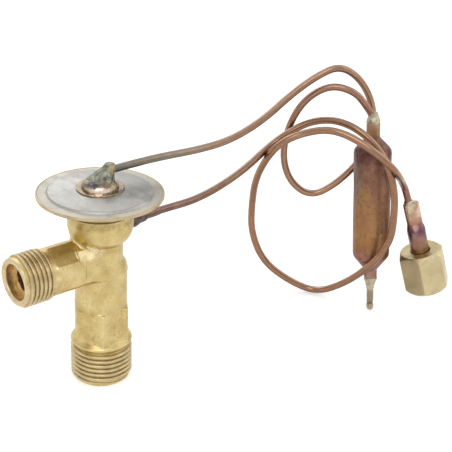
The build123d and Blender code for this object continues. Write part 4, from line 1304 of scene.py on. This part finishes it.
@dataclass
class Bulb:
    """Sensing bulb with its necks, solder and charging tube, by distance from the tube's tip."""

    tip: AxisFrame = AxisFrame((100, -23, 0.1), (-0.0585, 0.0515, 0.997))
    barrel: float = 6.35
    neck: float = 2.3
    charge: float = 1.2

    def build(self, dresser: Dresser) -> None:
        """Makes the spun shell, the charging tube and both solder joints.

        Args:
            dresser: finishes the pieces.
        """
        neck, barrel = self.neck, self.barrel
        shell = rounded([(0, 12.8, 0), (neck, 12.8, 0.4), (neck, 16.2, 1.6), (barrel, 21.9, 2.4),
                         (barrel, 60.9, 2.4), (neck, 65.5, 1.6), (neck, 71.1, 0.4), (0, 71.1, 0)], steps=8)
        dresser.turn("bulb_shell_spun", subdivided(shell, 1.2), BULB_COPPER, "bulb_copper", "bulb_shell",
                     self.tip, 96, rough(0.12, 9.0, 2.5))
        tube = rounded([(0, 0.0, 0), (0.95, 0.0, 0.2), (1.4, 0.5, 0.3), (1.45, 1.7, 0.3), (1.1, 2.4, 0.3),
                        (1.15, 3.3, 0.3), (self.charge, 4.2, 0.4), (self.charge, 16.5, 0), (0, 16.5, 0)])
        dresser.turn("charging_tube", tube, CHARGE_COPPER, "dark_copper", "charge_tube", self.tip, 40,
                     self.pinched)
        lower = rounded([(0, 8.0, 0), (1.35, 8.1, 0.2), (1.7, 10.4, 0.8), (2.35, 12.4, 0.5), (2.4, 13.1, 0.3),
                         (0, 13.2, 0)])
        upper = rounded([(0, 70.6, 0), (2.35, 70.7, 0.2), (2.3, 71.6, 0.5), (1.8, 72.8, 0.5),
                         (1.45, 74.2, 0.3), (0, 74.3, 0)])
        for name, outline, node, form in (
                ("charging_tube_joint", lower, "charge_tube_solder", rough(0.25, 1.2, 3.3)),
                ("bulb_top_joint", upper, "bulb_top_solder", rough(0.3, 1.3, 6.6))):
            dresser.turn(name, outline, PALE_SOLDER, "pale_solder", node, self.tip, form=form)

    def pinched(self, points: Array) -> Array:
        """Flattens the charging tube's tip across one way."""
        share = np.clip(1 - (points[:, 2] - 0.9) / 2.4, 0, 1)
        return points * np.stack((1 - 0.15 * share, 1 + 0.08 * share, np.ones_like(share)), axis=1)


@dataclass
class FlareEnd:
    """Flare stub with its crimped end and the hexagonal nut that spins on it, hung below their place."""

    place: AxisFrame = AxisFrame((106.1, -30.7, 43.0), (-0.2142, 0.1882, 0.9585))
    tube: float = 3.175
    wall: float = 0.8
    crimp_across: float = 2.7
    crimp_thick: float = 3.4 / 2
    crimp_length: float = 7.8
    taper_end: float = 10.4
    fold: float = 0.22
    cone: float = 23.47
    flare: float = 4.55
    nut_top: float = 18.4
    nut_length: float = 15.0
    nut_flat: float = 14.29 / 2
    nut_turn: float = 48.0
    nut_bore: float = 3.275
    nut_thread: float = 5.05
    nut_thread_length: float = 6.4
    nut_pitch: float = 1.27
    entry: float = 0.6  # how far beside the axis the small tube enters

    def build(self, dresser: Dresser) -> None:
        """Makes the crimped and flared stub, its solder and the nut.

        Args:
            dresser: finishes the pieces.
        """
        lip, bore, end = self.wall / math.sqrt(2), self.tube - self.wall, self.cone + self.flare - self.tube
        stub = rounded([(0, -0.25, 0), (self.tube, 0, 0.5), (self.tube, -self.crimp_length, 0.5),
                        (self.tube, -self.taper_end, 0.5), (self.tube, -self.cone, 0.2),
                        (self.flare, -end, 0.15), (self.flare - lip, -end - lip, 0.15),
                        (bore, -self.cone - 0.33, 0.2),
                        (bore, -self.taper_end - 0.8, 0.5), (0, -self.taper_end, 0)])
        dresser.turn("crimped_stub", subdivided(stub, 0.6), STUB_COPPER, "bright_copper", "flare_stub",
                     self.place, 72, self.crimped)
        joint = rounded([(0, -0.6, 0), (1.75, -0.5, 0.2), (1.75, 0.3, 0.3), (1.4, 1.0, 0.3), (0, 1.2, 0)])
        dresser.turn("stub_joint", joint, PALE_SOLDER, "pale_solder", "stub_solder", self.place, 40,
                     lambda points: roughened(points, 0.3, 1.1, 5.5) - (self.entry, 0, 0))
        self.nut(dresser)

    def crimped(self, points: Array) -> Array:
        """Squeezes the tube's end to an oval with a shallow fold along each flat.

        Args:
            points: the turned stub.

        Returns:
            The crimped stub.
        """
        share = eased(np.clip((points[:, 2] + self.taper_end) / (self.taper_end - self.crimp_length), 0, 1))
        shaped = points.copy()
        shaped[:, 0] *= 1 - share * (1 - self.crimp_across / self.tube)
        shaped[:, 1] *= 1 - share * (1 - self.crimp_thick / self.tube)
        fold = np.exp(-(shaped[:, 0] / 0.8) ** 2) * share * self.fold
        shaped[:, 1] -= np.sign(shaped[:, 1]) * np.minimum(fold, np.abs(shaped[:, 1]))
        return roughened(shaped, 0.08, 3.0, 7.1)

    def nut(self, dresser: Dresser) -> None:
        """Makes the nut and its inside thread.

        Args:
            dresser: finishes the pieces.
        """
        top, low = -self.nut_top, -self.nut_top - self.nut_length
        corner = self.nut_flat * 2 / math.sqrt(3)
        face, crown = self.nut_flat - 0.45, 1.5
        outside = TurnedField([(0, low), (face, low), (corner, low + crown), (corner, top - crown),
                               (face, top), (0, top)])
        hole, groove, cone, thread = self.nut_bore, 5.3, top - 5.0, self.nut_thread
        relief = cone - (groove - hole)
        bore = TurnedField([(0, top + 2), (hole + 0.3, top + 2), (hole + 0.3, top), (hole, top - 0.3),
                            (hole, cone), (groove, relief), (groove, relief - 0.8), (thread, relief - 0.9),
                            (thread, low + 0.6), (5.6, low), (5.6, low - 2), (0, low - 2)])

        def distance(x: Array, y: Array, z: Array) -> Array:
            """Signed distance to the brass.

            Args:
                x: first coordinates, in millimetres.
                y: second coordinates.
                z: third coordinates.

            Returns:
                The distances, negative inside.
            """
            r = np.hypot(x, y)
            block = smooth_max(hexagon(x, y, self.nut_flat, self.nut_turn, 0.25), outside(r, z), 0.35)
            return smooth_max(block, -bore(r, z), 0.2)

        reach = corner + 0.5
        points, faces = skinned(distance, (-reach, -reach, low - 0.5), (reach, reach, top + 0.5), 0.2)
        nut = mesh_piece("flare_nut_brass", carried(points, self.place.matrix()), faces.tolist(), sharp=50)
        dresser.dress(nut, NUT_BRASS, "turned_brass", "flare_nut", body=Body.NUT)
        dresser.wind("nut_thread", self.place.moved(low + 0.7), thread + 0.1, -0.45, self.nut_pitch,
                     self.nut_thread_length, (0.9, 0.2), 0.1, Body.NUT)


@dataclass
class Works:
    """What moves inside the stem: plate, pin, ball, carrier, spring and adjuster."""

    spring_mean: float = 3.9
    wire: float = 0.5
    turns: float = 6.5
    still_turns: float = 3.0  # turns below the one that stays where it is

    def build(self, dresser: Dresser) -> None:
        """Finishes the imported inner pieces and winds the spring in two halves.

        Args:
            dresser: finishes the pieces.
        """
        for finish, names in (
                (BRIGHT_STEEL, ("thrust_plate", "push_pin", "valve_ball")),
                (TURNED_BRASS, ("ball_carrier", "packing_gland", "spring_seat", "adjusting_screw")),
                (PACKING_RUBBER, ("pin_packing",))):
            for name in names:
                dresser.coat(dresser.nodes[name], finish)
        low, high = (corner.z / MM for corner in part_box("superheat_spring"))
        pitch = (high - low - 2 * self.wire) / self.turns
        tree = helix_tree("Spring", True)
        foot = low + self.wire
        still = foot + pitch * self.still_turns
        for name, body, start, turns, moved, replaces in (
                ("wound_spring_lower", Body.SEAT_SLIDE, foot, self.still_turns, low, ["superheat_spring"]),
                ("wound_spring_upper", Body.LIFTER, still, self.turns - self.still_turns, high, [])):
            values = {"Radius": self.spring_mean * MM, "Pitch": pitch * MM, "Turns": turns,
                      "Height": self.wire * MM, "Steps": 40}
            half = tree.made(name, values, place=AxisFrame((0, 0, start)).matrix())
            dresser.dress(half, BRIGHT_STEEL, "steel", *replaces, body=None)
            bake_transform(half)


# ---- studio


@dataclass
class Studio:
    """Camera, white floor, soft lamps and world."""

    eye: Point3 = (-173.1, -253.9, 200.0)
    right: Point3 = (0.7634, -0.6447, 0.0409)
    up: Point3 = (0.2514, 0.3548, 0.9006)
    back: Point3 = (-0.5951, -0.6772, 0.4329)
    lens: float = 90.16
    sensor: float = 36.0
    middle: Point3 = (45, -8, 40)
    floor_half: float = 3000.0
    floor_glow: float = 0.45
    room_light: float = 0.6

    def camera(self) -> None:
        """Places the camera."""
        data = bpy.data.cameras.new("camera")
        data.lens, data.sensor_width = self.lens, self.sensor
        data.clip_start, data.clip_end = 0.01, 20
        camera = linked("camera", data)
        turn = Matrix((self.right, self.up, self.back)).transposed().to_4x4()
        camera.matrix_world = Matrix.Translation(Vector(self.eye) * MM) @ turn
        bpy.context.scene.camera = camera

    def lamp(self, name: str, place: Point3, watts: float, size: float = 420.0) -> None:
        """Adds a soft lamp that faces the valve.

        Args:
            name: the lamp's name.
            place: millimetres.
            watts: its power.
            size: edge of the lamp in millimetres.
        """
        data = bpy.data.lights.new(name, "AREA")
        data.size = size * MM
        data.energy = watts
        aim = (Vector(self.middle) - Vector(place)).normalized().to_track_quat("-Z", "Y")
        linked(name, data).matrix_world = Matrix.Translation(Vector(place) * MM) @ aim.to_matrix().to_4x4()

    def looked_at(self, writer: NodeWriter) -> Socket:
        """1 for what the camera and shiny or clear surfaces see, 0 for what lights the valve.

        Args:
            writer: adds the nodes.

        Returns:
            The mask.
        """
        seen = writer.add("ShaderNodeLightPath", output="Is Camera Ray")
        path = seen.node.outputs
        for label in ("Is Glossy Ray", "Is Transmission Ray"):
            seen = writer.math("MAXIMUM", seen, path[label])
        return seen

    def floor(self) -> None:
        """Lays the floor, which stays white and keeps the valve's soft shadow."""
        cx, cy, _ = self.middle
        points = [(cx + i * self.floor_half, cy + j * self.floor_half, 0)
                  for i, j in ((-1, -1), (1, -1), (1, 1), (-1, 1))]
        floor = mesh_piece("floor", np.array(points, float), [(0, 1, 2, 3)])
        material = bpy.data.materials.new("floor_white")
        material.use_nodes = True
        writer = NodeWriter(material.node_tree)
        shader = writer.tree.nodes["Principled BSDF"]
        shader.inputs["Base Color"].default_value = (0.85, 0.85, 0.85, 1)
        shader.inputs["Roughness"].default_value = 0.9
        strength = writer.math("MULTIPLY", self.looked_at(writer), self.floor_glow)
        glow = writer.add("ShaderNodeEmission", {"Color": WHITE, "Strength": strength})
        both = writer.add("ShaderNodeAddShader", {0: shader.outputs[0], 1: glow})
        writer.tree.links.new(both, writer.tree.nodes["Material Output"].inputs["Surface"])
        floor.data.materials.append(material)

    def world(self) -> None:
        """Lights the room evenly from all round, and shows plain white."""
        world = bpy.data.worlds.new("room")
        world.use_nodes = True
        writer = NodeWriter(world.node_tree)
        soft = writer.tree.nodes["Background"]
        soft.inputs["Color"].default_value = WHITE
        soft.inputs["Strength"].default_value = self.room_light
        plain = writer.add("ShaderNodeBackground", {"Color": WHITE, "Strength": 1.0})
        mixed = writer.add("ShaderNodeMixShader", {0: self.looked_at(writer), 1: soft.outputs[0], 2: plain})
        writer.tree.links.new(mixed, writer.tree.nodes["World Output"].inputs["Surface"])
        bpy.context.scene.world = world

    def build(self) -> None:
        """Sets up the studio."""
        bpy.context.scene.view_settings.view_transform = "Standard"
        self.camera()
        self.floor()
        self.world()
        self.lamp("key", (-300, -300, 520), 1.0)
        self.lamp("fill", (420, -260, 300), 0.4)
        self.lamp("back", (120, 420, 380), 0.5)


def corners(box: tuple[Vector, Vector]) -> list[list[float]]:
    """A box's corners as plain numbers."""
    return [list(corner) for corner in box]


def main() -> None:
    """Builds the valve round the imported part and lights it."""
    logging.basicConfig(level=logging.INFO, format="%(name)s %(message)s")
    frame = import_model()
    Studio().build()
    dresser = Dresser(frame["nodes"])
    for assembly in (Forging(), Head(), Tubes(), Bulb(), FlareEnd(), Works()):
        assembly.build(dresser)


if __name__ == "__main__":
    main()
